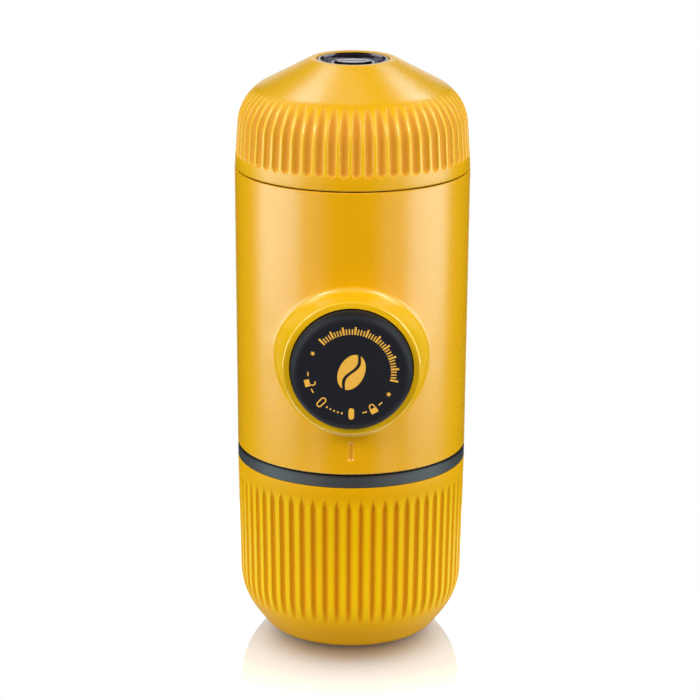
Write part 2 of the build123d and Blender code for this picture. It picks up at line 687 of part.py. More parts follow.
def valve_spring(ball_z, length):
    place = Pos(0, VALVE_Y, ball_z + BALL_R)
    return coil(VALVE_SPRING_R, VALVE_WIRE_R, length, VALVE_SPRING_TURNS, place)


def make_inlet_retainer():
    foot = INLET_BALL_Z + BALL_R + INLET_SPRING
    return ring(SEAT_HOLE_R, VALVE_BORE_R - FIT_GAP, foot, foot + RETAINER_THICK, 0, VALVE_Y)


def make_delivery_bush():
    return ring(BUSH_BORE_R, VALVE_BORE_R - FIT_GAP, DELIVERY_FOOT_Z, FRAME_TOP_Z + DELIVERY_SINK, 0, VALVE_Y)


def make_intake_bush():
    return ring(BUSH_BORE_R, BUSH_R, FRAME_FLOOR_Z - BUSH_SINK, STEM_FOOT_Z, 0, VALVE_Y)


# ---------------------------------------------------------------- brew head and coffee holder


def make_brew_head():
    head = disc(CORE_R, FRAME_TOP_Z, BREW_TOP_Z) + ring(COLLAR_BORE_R, CORE_R, BREW_TOP_Z - 1, COLLAR_TOP_Z)
    ridge_z = BREW_TOP_Z + COLLAR_RIDGE_RISE
    head = head + thread_ridge(COLLAR_BORE_R, COLLAR_BORE_R - THREAD_HEIGHT, ridge_z)
    screen_z = BREW_TOP_Z - SCREEN_THICK
    head = head - disc(SCREEN_R + FIT_GAP, screen_z, BREW_TOP_Z + 1)
    head = head - disc(CAVITY_R, screen_z - CAVITY_DEPTH, BREW_TOP_Z)
    head = head + disc(POST_R, screen_z - CAVITY_DEPTH - 1, screen_z)
    head = head - disc(SCREW_R + FIT_GAP, FRAME_TOP_Z + 1, BREW_TOP_Z)
    for x, y in brew_screw_spots():
        head = head - disc(SCREW_R + FIT_GAP, FRAME_TOP_Z - 1, BREW_TOP_Z, x, y)
        head = head - disc(SCREW_HEAD_R + FIT_GAP, brew_screw_z(), BREW_TOP_Z, x, y)
    channel_z = FRAME_TOP_Z + DELIVERY_SINK + WATER_PORT_R
    head = head - disc(VALVE_BORE_R, FRAME_TOP_Z - 1, FRAME_TOP_Z + DELIVERY_SINK, 0, VALVE_Y)
    head = head - disc(WATER_PORT_R, FRAME_TOP_Z, channel_z, 0, VALVE_Y)
    head = head - disc(WATER_PORT_R, channel_z, BREW_TOP_Z, 0, WATER_PORT_Y)
    duct = Rot(90, 0, 0) * Cylinder(WATER_DUCT_R, VALVE_Y - WATER_PORT_Y)
    head = head - Pos(0, (VALVE_Y + WATER_PORT_Y) / 2, channel_z) * duct
    seal_z = COLLAR_TOP_Z - CUP_SEAL_DROP
    seal_half = CUP_SEAL_WIRE + FIT_GAP
    groove_r = CORE_R + CUP_SEAL_STAND - 2 * CUP_SEAL_WIRE - FIT_GAP
    return head - ring(groove_r, CORE_R + 1, seal_z - seal_half, seal_z + seal_half)


def brew_screw_z():
    return BREW_TOP_Z - SCREEN_THICK - CAVITY_DEPTH - SCREW_HEAD


def make_brew_screws():
    return Compound([screw(brew_screw_z(), BREW_SCREW_LENGTH, x, y, True) for x, y in brew_screw_spots()])


def make_cup_seal():
    return torus(CORE_R + CUP_SEAL_STAND - CUP_SEAL_WIRE, CUP_SEAL_WIRE, COLLAR_TOP_Z - CUP_SEAL_DROP)


def make_shower_screen():
    screen = disc(SCREEN_R, BREW_TOP_Z - SCREEN_THICK, BREW_TOP_Z)
    screen = screen - disc(SCREW_R + FIT_GAP, FRAME_TOP_Z, BREW_TOP_Z + 1)
    spots = hex_grid(SCREEN_HOLE_PITCH, SCREEN_R - SCREEN_EDGE)
    hole = disc(SCREEN_HOLE_R, BREW_TOP_Z - 2, BREW_TOP_Z + 1)
    return screen - [Pos(x, y, 0) * hole for x, y in spots]


def make_shower_screw():
    return screw(BREW_TOP_Z, BREW_PLATE - 1.5, 0, 0, True)


def make_head_gasket():
    return ring(HEAD_GASKET_IN, HEAD_GASKET_OUT, BREW_TOP_Z, BASKET_RIM_Z)


def make_filter_basket():
    outer = turned(
        [(0, BASKET_RIM_Z), (BASKET_R, BASKET_RIM_Z), (BASKET_R, BASKET_TOP_Z), (0, BASKET_TOP_Z)],
        [0, BASKET_ROUND],
    )
    inner_r = BASKET_R - BASKET_WALL
    inner_z = BASKET_TOP_Z - BASKET_WALL
    inner = turned(
        [(0, BASKET_RIM_Z - 1), (inner_r, BASKET_RIM_Z - 1), (inner_r, inner_z), (0, inner_z)],
        [0, BASKET_ROUND - BASKET_WALL],
    )
    basket = outer + disc(HEAD_GASKET_OUT, BASKET_RIM_Z, BASKET_LEDGE_Z) - inner
    hole = disc(BASKET_HOLE_R, inner_z - 1, BASKET_TOP_Z + 1)
    spots = hex_grid(BASKET_HOLE_PITCH, inner_r - BASKET_ROUND - BASKET_HOLE_R)
    return basket - [Pos(x, y, 0) * hole for x, y in spots]


def make_coffee_holder():
    room_r = BASKET_R + SLIDE_GAP
    seat_r = HEAD_GASKET_OUT + SLIDE_GAP
    foot_z = BREW_TOP_Z + HOLDER_SKIRT_LIFT
    ceiling = BASKET_TOP_Z + HOLDER_ROOM
    solid = turned(
        [
            (0, foot_z),
            (HOLDER_R, foot_z),
            (HOLDER_R, FLANGE_FOOT_Z),
            (HOLDER_FLANGE_R, FLANGE_FOOT_Z),
            (HOLDER_FLANGE_R, FLANGE_TOP_Z),
            (HOLDER_SPOUT_R, SPOUT_Z),
            (0, SPOUT_Z),
        ]
    )
    crown = ceiling + HOLDER_CEILING
    solid = solid - turned([(0, foot_z - 1), (room_r, foot_z - 1), (room_r, ceiling), (NOZZLE_R, crown), (0, crown)])
    solid = solid - disc(seat_r, foot_z - 1, BASKET_LEDGE_Z)
    solid = solid - disc(NOZZLE_R + FIT_GAP, ceiling, SPOUT_Z + 1)
    grip = disc(HOLDER_GRIP_R, FLANGE_FOOT_Z - 0.5, SPOUT_Z, HOLDER_FLANGE_R + HOLDER_GRIP_R / 2, 0)
    solid = solid - around(grip, HOLDER_GRIPS)
    ridge_z = BREW_TOP_Z + COLLAR_RIDGE_RISE - THREAD_PITCH / 2
    return solid + thread_ridge(HOLDER_R, HOLDER_R + THREAD_HEIGHT, ridge_z)


def make_outlet_nozzle():
    tube = disc(NOZZLE_R, SPOUT_Z - NOZZLE_LENGTH, SPOUT_Z) + disc(NOZZLE_FLANGE_R, SPOUT_Z, SPOUT_Z + NOZZLE_FLANGE)
    tube = tube - disc(NOZZLE_BORE_R, SPOUT_Z - NOZZLE_LENGTH - 1, SPOUT_Z + NOZZLE_FLANGE + 1)
    return fillet(tube.edges().group_by(Axis.Z)[-1].sort_by(SortBy.LENGTH)[-1], NOZZLE_ROUND)


# ---------------------------------------------------------------- tank neck and water tank


def make_tank_neck():
    neck = disc(CORE_R, NECK_FOOT_Z, FRAME_FLOOR_Z)
    neck = neck + ring(NECK_BORE_R, NECK_R, NECK_FOOT_Z - NECK_LENGTH, NECK_FOOT_Z + 1)
    ridge_z = NECK_FOOT_Z - NECK_LENGTH + NECK_RIDGE_RISE
    neck = neck + thread_ridge(NECK_R, NECK_R + THREAD_HEIGHT, ridge_z)
    for x, y in neck_screw_spots():
        neck = neck - disc(SCREW_R + FIT_GAP, NECK_FOOT_Z - 1, FRAME_FLOOR_Z + 1, x, y)
    neck = neck - disc(BUSH_R + FIT_GAP, FRAME_FLOOR_Z - BUSH_SINK, FRAME_FLOOR_Z + 1, 0, VALVE_Y)
    neck = neck - disc(VALVE_PORT_R, NECK_FOOT_Z - 1, FRAME_FLOOR_Z, 0, VALVE_Y)
    return neck - disc(VENT_R + FIT_GAP, NECK_FOOT_Z - 1, FRAME_FLOOR_Z + 1, 0, VENT_Y)


def make_neck_screws():
    return Compound([screw(NECK_FOOT_Z, NECK_SCREW_LENGTH, x, y, False) for x, y in neck_screw_spots()])


def make_intake_strainer():
    plate = disc(STRAINER_R, NECK_FOOT_Z - STRAINER_THICK, NECK_FOOT_Z, 0, VALVE_Y)
    hole = disc(STRAINER_HOLE_R, NECK_FOOT_Z - 2, NECK_FOOT_Z + 1, 0, VALVE_Y)
    spots = hex_grid(STRAINER_HOLE_PITCH, STRAINER_R - 1)
    return plate - [Pos(x, y, 0) * hole for x, y in spots] - hole


def make_vent_tube():
    return ring(VENT_BORE_R, VENT_R, VENT_FOOT_Z, NECK_FOOT_Z + VENT_SINK, 0, VENT_Y)


def make_vent_duckbill():
    tip_z = VENT_FOOT_Z - DUCKBILL_TIP
    sleeve = disc(DUCKBILL_R, VENT_FOOT_Z, VENT_FOOT_Z + DUCKBILL_SLEEVE)
    lips = loft([Pos(0, 0, VENT_FOOT_Z) * Circle(DUCKBILL_R), Pos(0, 0, tip_z) * Ellipse(DUCKBILL_R, DUCKBILL_LIP)])
    bore = disc(VENT_R + FIT_GAP, VENT_FOOT_Z, VENT_FOOT_Z + DUCKBILL_SLEEVE + 1)
    throat = disc(VENT_BORE_R / 2, tip_z - 1, VENT_FOOT_Z + 1)
    return Pos(0, VENT_Y, 0) * (sleeve + lips - bore - throat)


def tank_corners(inset):
    """Floor, flare and wall lines of the tank's outline, moved in by inset."""
    wall_angle = 90 - TANK_DRAFT
    wall = shifted((TANK_TOP_R, TANK_TOP_Z), wall_angle, inset)
    flare = shifted((TANK_FOOT_R, 0), TANK_FLARE, inset)
    heel = meet((0, inset), 0, flare, TANK_FLARE)
    return heel, meet(flare, TANK_FLARE, wall, wall_angle), wall


def make_tank_shell():
    heel, corner, wall = tank_corners(0)
    outer = turned([(0, 0), heel, corner, wall, (0, wall[1])], [TANK_HEEL_R, TANK_SHOULDER_R, RING_CHAMFER])
    spigot_r = TANK_BORE_R + TANK_SPIGOT_WALL
    outer = outer + disc(spigot_r, TANK_TOP_Z - 1, RING_TOP_Z)
    heel, corner, wall = tank_corners(TANK_WALL)
    bore_z = RING_TOP_Z - TANK_BORE_DEPTH
    wall = meet(corner, 90 - TANK_DRAFT, (0, bore_z), 0)
    rounds = [TANK_HEEL_R - TANK_WALL, TANK_SHOULDER_R - TANK_WALL, 0]
    hollow = turned([(0, TANK_WALL), heel, corner, wall, (0, bore_z)], rounds)
    tank = outer - hollow - disc(TANK_BORE_R, bore_z - 1, RING_TOP_Z + 1)
    flute_top = TANK_TOP_Z - TANK_FLUTE_TOP - TANK_FLUTE_R
    axis_r = TANK_TOP_R - TANK_FLUTE_DEPTH + TANK_FLUTE_R
    drop = flute_top - TANK_FLUTE_FOOT
    bar = Pos(0, 0, -drop / 2) * Cylinder(TANK_FLUTE_R, drop) + Sphere(TANK_FLUTE_R)
    top_lean = math.tan(math.radians(TANK_DRAFT)) * (TANK_TOP_Z - flute_top)
    bar = Pos(axis_r - top_lean, 0, flute_top) * Rot(0, TANK_DRAFT, 0) * bar
    front = Rot(0, 0, -90 + TANK_FLUTE_TURN) * bar
    tank = tank - around(front, FLUTES)
    ridge_z = NECK_FOOT_Z - NECK_LENGTH + NECK_RIDGE_RISE + THREAD_PITCH / 2
    return tank + thread_ridge(TANK_BORE_R, TANK_BORE_R - THREAD_HEIGHT, ridge_z)


def make_tank_ring():
    inner = TANK_BORE_R + TANK_SPIGOT_WALL + FIT_GAP
    band = ring(inner, TANK_TOP_R, TANK_TOP_Z, RING_TOP_Z)
    edges = band.edges().filter_by(GeomType.CIRCLE).sort_by(SortBy.LENGTH)[-2:]
    return chamfer(edges, RING_CHAMFER)


def make_tank_gasket():
    outer = TANK_TOP_R - GASKET_INSET
    inner = outer - GASKET_WIDTH
    step_r = BODY_BORE_R - CORE_GAP
    return turned(
        [
            (inner, RING_TOP_Z),
            (outer, RING_TOP_Z),
            (outer, BODY_FOOT_Z),
            (step_r, BODY_FOOT_Z),
            (step_r, NECK_FOOT_Z),
            (inner, NECK_FOOT_Z),
        ]
    )


# ---------------------------------------------------------------- all pieces

PIECES = {
    "cup_shell": make_cup_shell,
    "cup_badge": make_cup_badge,
    "cup_seal": make_cup_seal,
    "body_shell": make_body_shell,
    "piston_wiper": make_piston_wiper,
    "piston_cap": make_piston_cap,
    "piston_rod": make_piston_rod,
    "piston_head": make_piston_head,
    "piston_o_ring": make_piston_o_ring,
    "piston_spring": make_piston_spring,
    "spring_seat": make_spring_seat,
    "lock_ring": make_lock_ring,
    "pump_cylinder": make_pump_cylinder,
    "rod_bush": make_rod_bush,
    "pump_frame": make_pump_frame,
    "valve_block": make_valve_block,
    "chamber_seal": make_chamber_seal,
    "tie_bolts": make_tie_bolts,
    "inlet_seat": lambda: valve_seat(INLET_SEAT_Z),
    "inlet_ball": lambda: valve_ball(INLET_BALL_Z),
    "inlet_spring": lambda: valve_spring(INLET_BALL_Z, INLET_SPRING),
    "inlet_retainer": make_inlet_retainer,
    "outlet_seat": lambda: valve_seat(OUTLET_SEAT_Z),
    "outlet_ball": lambda: valve_ball(OUTLET_BALL_Z),
    "outlet_spring": lambda: valve_spring(OUTLET_BALL_Z, OUTLET_SPRING),
    "delivery_bush": make_delivery_bush,
    "intake_bush": make_intake_bush,
    "brew_head": make_brew_head,
    "brew_head_screws": make_brew_screws,
    "shower_screen": make_shower_screen,
    "shower_screw": make_shower_screw,
    "head_gasket": make_head_gasket,
    "filter_basket": make_filter_basket,
    "coffee_holder": make_coffee_holder,
    "outlet_nozzle": make_outlet_nozzle,
    "tank_neck": make_tank_neck,
    "neck_screws": make_neck_screws,
    "intake_strainer": make_intake_strainer,
    "vent_tube": make_vent_tube,
    "vent_duckbill": make_vent_duckbill,
    "tank_gasket": make_tank_gasket,
    "tank_ring": make_tank_ring,
    "tank_shell": make_tank_shell,
}

os.makedirs("parts", exist_ok=True)
for name, make in PIECES.items():
    piece = make()
    export_step(piece, f"parts/{name}.step")
    print(f"{name}: {len(piece.solids())} solid(s), {piece.volume:.1f} mm3")
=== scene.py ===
# %% [markdown]
# # A handheld espresso maker, dressed in Blender
# The maker stands upright as it is stored: a ribbed water tank below, a smooth pump body with a
# round black piston in its front, and a ribbed drinking cup upside down on top. Its working parts
# come from a CAD model, which stays where it is. This script gives every part its finish, makes
# the ribbed shells, the printed marks and the springs as meshes of their own, and sets up a
# plain studio around it all.

# %% Load the CAD model
import math

import bmesh
import bpy
from mathutils import Matrix, Vector


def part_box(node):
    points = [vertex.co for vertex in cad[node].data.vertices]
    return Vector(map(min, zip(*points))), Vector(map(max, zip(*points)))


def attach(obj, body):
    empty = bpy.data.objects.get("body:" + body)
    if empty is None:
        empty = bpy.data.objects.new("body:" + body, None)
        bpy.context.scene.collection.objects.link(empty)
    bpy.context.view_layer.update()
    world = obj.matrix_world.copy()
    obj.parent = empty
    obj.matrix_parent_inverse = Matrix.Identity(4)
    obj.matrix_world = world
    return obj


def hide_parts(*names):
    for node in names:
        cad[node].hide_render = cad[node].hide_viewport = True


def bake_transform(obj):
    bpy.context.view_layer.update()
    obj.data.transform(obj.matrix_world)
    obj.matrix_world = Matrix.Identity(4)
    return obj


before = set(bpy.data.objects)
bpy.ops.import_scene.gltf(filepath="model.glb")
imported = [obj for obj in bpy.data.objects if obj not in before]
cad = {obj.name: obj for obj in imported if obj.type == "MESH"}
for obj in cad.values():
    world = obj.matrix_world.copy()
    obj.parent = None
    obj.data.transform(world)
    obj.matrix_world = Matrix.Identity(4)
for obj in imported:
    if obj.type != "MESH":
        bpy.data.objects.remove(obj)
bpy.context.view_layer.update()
MM = 0.001

# %% [markdown]
# ## The camera
# A long lens from three quarters of a metre away, looking slightly down, keeps the sides of a
# product almost parallel. Its focal length is written in points of a square picture 700 points
# wide, and turned into the millimetres that Blender asks for. The last two values are also in
# points, and set the lens's axis a little off the picture's centre.

# %% Camera
PICTURE = 700
SENSOR = 36.0
CAMERA_DISTANCE = 748.3 * MM
CAMERA_HEIGHT = 298.4 * MM
CAMERA_PITCH = 16.49
CAMERA_ROLL = 0.293
FOCAL_POINTS = 2913
CENTRE_RIGHT = 1.6
CENTRE_UP = 0.6

camera_data = bpy.data.cameras.new("camera")
camera_data.sensor_width = SENSOR
camera_data.lens = FOCAL_POINTS / PICTURE * SENSOR
camera_data.shift_x = -CENTRE_RIGHT / PICTURE
camera_data.shift_y = -CENTRE_UP / PICTURE
camera = bpy.data.objects.new("camera", camera_data)
bpy.context.scene.collection.objects.link(camera)
tilt = Matrix.Rotation(math.radians(90 - CAMERA_PITCH), 4, "X")
roll = Matrix.Rotation(math.radians(CAMERA_ROLL), 4, "Z")
camera.matrix_world = Matrix.Translation((0, -CAMERA_DISTANCE, CAMERA_HEIGHT)) @ tilt @ roll
bpy.context.scene.camera = camera
bpy.context.scene.view_settings.view_transform = "Standard"
print("lens", round(camera_data.lens, 1), "mm")

# %% [markdown]
# ## The studio light
# Two softboxes stand left and right of the maker. A satin surface shows each of them as a broad
# upright band of light, and the bands tell the eye that the body is round. Two fill lights in
# front give the colour between the bands, and smaller lamps at the sides and high behind light
# the cup's shoulder. The lamps that make highlights have a cool tint, without which the highlights
# on the yellow would look orange.
# Black cards stand around and above, out of the camera's sight. They keep the white room out of
# the reflections, so the colour stays deep beside the bands.


# %% Placing lamps
def facing(azimuth, distance, height, aim):
    """Place of a flat thing at an angle from the camera's side, turned to a height on the axis."""
    turn = math.radians(azimuth)
    place = Vector((math.sin(turn) * distance, -math.cos(turn) * distance, height))
    look = (Vector((0, 0, aim)) - place).to_track_quat("-Z", "Y")
    return Matrix.Translation(place) @ look.to_matrix().to_4x4()


def softbox(name, place, width, height, power, tint):
    """Area light of a given size in metres and power in watts."""
    lamp = bpy.data.lights.new(name, "AREA")
    lamp.shape = "RECTANGLE"
    lamp.color = tint
    lamp.size = width
    lamp.size_y = height
    lamp.energy = power
    lamp_object = bpy.data.objects.new(name, lamp)
    lamp_object.matrix_world = place
    bpy.context.scene.collection.objects.link(lamp_object)
    print(name, width, "by", height, "m,", power, "W")


# %% Black cards
CARD_BLACK = 0.01, 0.01, 0.01, 1

black_card = bpy.data.materials.new("black_card")
black_card.use_nodes = True
card_shader = black_card.node_tree.nodes["Principled BSDF"]
card_shader.inputs["Base Color"].default_value = CARD_BLACK
card_shader.inputs["Roughness"].default_value = 1.0


def card(name, place, width, height):
    """Black card that the camera doesn't see: a square of one metre, drawn out to its size."""
    bm = bmesh.new()
    bmesh.ops.create_grid(bm, x_segments=1, y_segments=1, size=0.5)
    bm.transform(place @ Matrix.Diagonal((width, height, 1, 1)))
    mesh = bpy.data.meshes.new(name)
    bm.to_mesh(mesh)
    bm.free()
    mesh.materials.append(black_card)
    board = bpy.data.objects.new(name, mesh)
    bpy.context.scene.collection.objects.link(board)
    board.visible_camera = False


# %% Lamps and cards round the maker
COOL = 0.68, 0.94, 1.0
SKY = 0.55, 0.85, 1.0
WARM = 1.0, 0.93, 0.86

softbox("softbox_left", facing(-76, 0.70, 0.01, 0.01), 0.62, 0.29, 2.1, COOL)
softbox("softbox_right", facing(78, 0.70, 0.01, 0.01), 0.60, 0.29, 2.1, COOL)
softbox("fill_left", facing(-50, 0.62, 0.45, 0.07), 0.40, 0.25, 2.75, WARM)
softbox("fill_right", facing(54, 0.62, 0.45, 0.07), 0.40, 0.25, 2.75, WARM)
softbox("side_left", facing(-98, 0.60, 0.55, 0.14), 0.25, 0.20, 0.9, COOL)
softbox("side_right", facing(98, 0.60, 0.55, 0.14), 0.25, 0.20, 0.9, COOL)
softbox("shoulder_left", facing(-143, 0.44, 0.81, 0.14), 0.20, 0.22, 1.14, SKY)
softbox("shoulder_middle", facing(-176, 0.26, 0.98, 0.14), 0.22, 0.16, 0.25, SKY)
softbox("shoulder_right", facing(144, 0.57, 0.73, 0.14), 0.16, 0.20, 0.96, SKY)

card("card_front", facing(0, 0.90, -0.20, -0.20), 0.95, 0.80)
card("card_left", facing(-76, 0.72, -0.40, -0.40), 0.90, 0.52)
card("card_right", facing(78, 0.72, -0.40, -0.40), 0.90, 0.52)
card("card_rear_left", facing(-136, 0.50, -0.05, -0.05), 0.53, 0.90)
card("card_rear_right", facing(136, 0.50, -0.05, -0.05), 0.53, 0.90)
card("card_rear", facing(180, 0.80, 0.78, 0.15), 1.30, 0.46)
card("card_top", facing(180, 0.30, 1.30, 0.10), 1.60, 1.30)

# %% [markdown]
# The room itself is white. What the camera and the reflections see of it has a strength of 1,
# which is exactly white, while it lights the maker at a lower level.

# %% White room
ROOM_LIGHT = 0.36


def seen_by_eye(tree):
    """1 for rays from the camera and for what is seen in reflections or through a clear piece."""
    path = tree.nodes.new("ShaderNodeLightPath")
    seen = path.outputs["Is Camera Ray"]
    for ray in ("Is Glossy Ray", "Is Transmission Ray"):
        either = tree.nodes.new("ShaderNodeMath")
        either.operation = "MAXIMUM"
        tree.links.new(seen, either.inputs[0])
        tree.links.new(path.outputs[ray], either.inputs[1])
        seen = either.outputs[0]
    return seen


world = bpy.data.worlds.new("white_room")
bpy.context.scene.world = world
world.use_nodes = True
room = world.node_tree
level = room.nodes.new("ShaderNodeMapRange")
level.inputs["To Min"].default_value = ROOM_LIGHT
room.links.new(seen_by_eye(room), level.inputs["Value"])
room.links.new(level.outputs[0], room.nodes["Background"].inputs["Strength"])
room.nodes["Background"].inputs["Color"].default_value = (1, 1, 1, 1)
print("the room is seen at 1 and lights at", ROOM_LIGHT)

# %% [markdown]
# ## Helpers for materials
# Colours are written as they look on a screen, from 0 to 255, and turned into the linear values
# that a shader needs. Patterns are built from a few small functions, each of which adds one or two
# nodes and returns the socket that the next one reads. They start from Object coordinates, so a
# pattern stays on its piece when the piece moves.


# %% Colours and finishes
def paint(red, green, blue):
    """Linear colour for a shader from screen values between 0 and 255."""

    def linear(value):
        share = value / 255
        return share / 12.92 if share <= 0.04045 else ((share + 0.055) / 1.055) ** 2.4

    return linear(red), linear(green), linear(blue), 1.0


def new_finish(name, colour, roughness, metallic=0.0, specular=0.5):
    """Material with a Principled shader, its node tree and that shader."""
    material = bpy.data.materials.new(name)
    material.use_nodes = True
    tree = material.node_tree
    shader = tree.nodes["Principled BSDF"]
    shader.inputs["Base Color"].default_value = colour
    shader.inputs["Roughness"].default_value = roughness
    shader.inputs["Metallic"].default_value = metallic
    shader.inputs["Specular IOR Level"].default_value = specular
    material.diffuse_color = colour
    print("finish", name)
    return material, tree, shader


# %% Noise, ranges and bump
def noise(tree, scale, detail=2.0, stretch=(1, 1, 1)):
    """Noise that stays fixed to the piece; scale counts its grains per metre."""
    place = tree.nodes.new("ShaderNodeTexCoord")
    mapping = tree.nodes.new("ShaderNodeMapping")
    mapping.inputs["Scale"].default_value = stretch
    texture = tree.nodes.new("ShaderNodeTexNoise")
    texture.inputs["Scale"].default_value = scale
    texture.inputs["Detail"].default_value = detail
    tree.links.new(place.outputs["Object"], mapping.inputs["Vector"])
    tree.links.new(mapping.outputs["Vector"], texture.inputs["Vector"])
    return texture.outputs["Fac"]


def between(tree, value, low, high, start=0.3, end=0.7):
    """Value turned into a range from low to high; start and end suit the values of a noise."""
    reach = tree.nodes.new("ShaderNodeMapRange")
    reach.inputs["From Min"].default_value = start
    reach.inputs["From Max"].default_value = end
    reach.inputs["To Min"].default_value = low
    reach.inputs["To Max"].default_value = high
    tree.links.new(value, reach.inputs["Value"])
    return reach.outputs["Result"]


def add_bump(tree, shader, grain, depth):
    """Bump of the given depth in metres."""
    bump = tree.nodes.new("ShaderNodeBump")
    bump.inputs["Distance"].default_value = depth
    tree.links.new(grain, bump.inputs["Height"])
    tree.links.new(bump.outputs["Normal"], shader.inputs["Normal"])


# %% Mixing colours and values
def add_tone(tree, shader, value, dark, light):
    """Base colour that wanders between two near tones."""
    mix = tree.nodes.new("ShaderNodeMix")
    mix.data_type = "RGBA"
    mix.inputs["A"].default_value = dark
    mix.inputs["B"].default_value = light
    tree.links.new(value, mix.inputs["Factor"])
    tree.links.new(mix.outputs["Result"], shader.inputs["Base Color"])


def blended(tree, socket, factor, value, kind="RGBA"):
    """Puts a value in place of what feeds a socket, as far as the factor says."""
    mix = tree.nodes.new("ShaderNodeMix")
    mix.data_type = kind
    mix.inputs["B"].default_value = value
    tree.links.new(factor, mix.inputs["Factor"])
    tree.links.new(socket.links[0].from_socket, mix.inputs["A"])
    tree.links.new(mix.outputs["Result"], socket)


# %% [markdown]
# ## Moulded plastics
# The yellow shells are injection moulded in a tool with a fine spark-eroded skin. The skin is a
# grain of a few tenths of a millimetre, far too fine to model, so it is a bump, and the same grain
# makes the gloss uneven. The colour drifts very slightly over the part, as it does in real resin.
# The ribbed shells also read how deep in a groove a point lies, a value that their meshes carry:
# a groove is duller, and painted shade gives it a deeper colour, while painted light makes a ridge
# paler. The black, grey and white plastics and the rubber are made the same way, each with its own
# tones and gloss.


# %% Moulded plastic
SKIN_GRAIN, SKIN_DEPTH = 2600, 0.03 * MM
SHALLOW_SKIN = 0.02 * MM
SKIN_DETAIL = 3.0
DRIFT_GRAIN = 35
GROOVE_ROUGHNESS = 0.75
GROOVE_EDGE = 0.3


def add_groove_gloss_and_shade(tree, shader, ridge_painted_light, groove_painted_shade):
    """Duller grooves, with painted shade in the grooves and painted light on the ridges."""
    groove = tree.nodes.new("ShaderNodeAttribute")
    groove.attribute_name = "groove"
    dull = between(tree, groove.outputs["Fac"], 0, GROOVE_ROUGHNESS, 0, GROOVE_EDGE)
    duller = tree.nodes.new("ShaderNodeMath")
    duller.operation = "MAXIMUM"
    tree.links.new(shader.inputs["Roughness"].links[0].from_socket, duller.inputs[0])
    tree.links.new(dull, duller.inputs[1])
    tree.links.new(duller.outputs[0], shader.inputs["Roughness"])
    # Painted light: the ridge colour; painted shade: the groove colour.
    for tone, deepest in ((ridge_painted_light, -1), (groove_painted_shade, 1)):
        share = between(tree, groove.outputs["Fac"], 0, 1, 0, deepest)
        blended(tree, shader.inputs["Base Color"], share, tone)


def moulded(
    name, dark, light, roughness, specular=0.5, grain=SKIN_GRAIN, depth=SKIN_DEPTH, rib_painted_light_and_shade=()
):
    """Satin plastic with a spark-eroded skin; rib_painted_light_and_shade holds the painted light
    for the ridges and the painted shade for the grooves.
    """
    material, tree, shader = new_finish(name, light, sum(roughness) / 2, specular=specular)
    fine = noise(tree, grain, SKIN_DETAIL)
    drift = noise(tree, DRIFT_GRAIN)
    add_tone(tree, shader, between(tree, drift, 0, 1), dark, light)
    tree.links.new(between(tree, fine, *roughness), shader.inputs["Roughness"])
    add_bump(tree, shader, fine, depth)
    if rib_painted_light_and_shade:
        add_groove_gloss_and_shade(tree, shader, *rib_painted_light_and_shade)
    return material


# %% Yellow shells
yellow_plastic = moulded(
    "yellow_plastic",
    paint(233, 169, 0),
    paint(237, 173, 0),
    roughness=(0.22, 0.30),
    specular=0.72,
    depth=SHALLOW_SKIN,
)
cup_plastic = moulded(
    "cup_plastic",
    paint(230, 169, 0),
    paint(234, 173, 0),
    roughness=(0.24, 0.32),
    specular=0.55,
    # Painted light on the ridges and painted shade in the grooves.
    rib_painted_light_and_shade=(paint(242, 188, 0), paint(217, 141, 0)),
)
tank_plastic = moulded(
    "tank_plastic",
    paint(226, 164, 0),
    paint(230, 168, 0),
    roughness=(0.36, 0.46),
    specular=0.12,
    # Painted light on the ridges and painted shade in the grooves.
    rib_painted_light_and_shade=(paint(237, 192, 0), paint(212, 138, 0)),
)

# %% Black, grey and white plastics and rubber
black_plastic = moulded(
    "black_plastic", paint(29, 29, 31), paint(34, 34, 36), roughness=(0.42, 0.54), grain=2200
)
grey_plastic = moulded(
    "grey_ring", paint(46, 50, 52), paint(50, 54, 56), roughness=(0.36, 0.46), specular=0.65
)
soft_black = moulded(
    "soft_black",
    paint(14, 15, 23),
    paint(18, 19, 27),
    roughness=(0.50, 0.60),
    specular=0.22,
    grain=3200,
)
pump_plastic = moulded(
    "pump_plastic",
    paint(214, 212, 204),
    paint(222, 220, 212),
    roughness=(0.35, 0.45),
    grain=1500,
    depth=SHALLOW_SKIN,
)
silicone = moulded(
    "silicone",
    paint(9, 9, 10),
    paint(12, 12, 13),
    roughness=(0.55, 0.66),
    specular=0.25,
    grain=1200,
    depth=SHALLOW_SKIN,
)

# %% [markdown]
# ## Places with a finish of their own
# Some places need more than one finish. They could be faces with a second material, but the CAD
# meshes stay as they are, so a mask in the material finds each place by its coordinates. Round the
# piston the body rises into a boss. That part of the tool is polished, so its skin is glossier. Its
# yellow is painted lighter there as painted light, most of all in the bevel at the piston, which
# the cap keeps in shade.

# %% Masks by place
ROUND_UPRIGHT, ROUND_PISTON = (1, 1, 0), (1, 0, 1)


def along(tree, axis):
    """Coordinate of a point along one of the maker's axes, in metres."""
    split = tree.nodes.new("ShaderNodeSeparateXYZ")
    tree.links.new(tree.nodes.new("ShaderNodeTexCoord").outputs["Object"], split.inputs[0])
    return split.outputs[axis]


def off_axis(tree, plane, middle):
    """Distance of a point from an axis, measured in a plane across it, in metres."""
    flat = tree.nodes.new("ShaderNodeVectorMath")
    flat.operation = "MULTIPLY"
    flat.inputs[1].default_value = plane
    tree.links.new(tree.nodes.new("ShaderNodeTexCoord").outputs["Object"], flat.inputs[0])
    reach = tree.nodes.new("ShaderNodeVectorMath")
    reach.operation = "DISTANCE"
    reach.inputs[1].default_value = middle
    tree.links.new(flat.outputs["Vector"], reach.inputs[0])
    return reach.outputs["Value"]


def both(tree, first, second):
    """1 where both values are 1."""
    product = tree.nodes.new("ShaderNodeMath")
    product.operation = "MULTIPLY"
    tree.links.new(first, product.inputs[0])
    tree.links.new(second, product.inputs[1])
    return product.outputs[0]


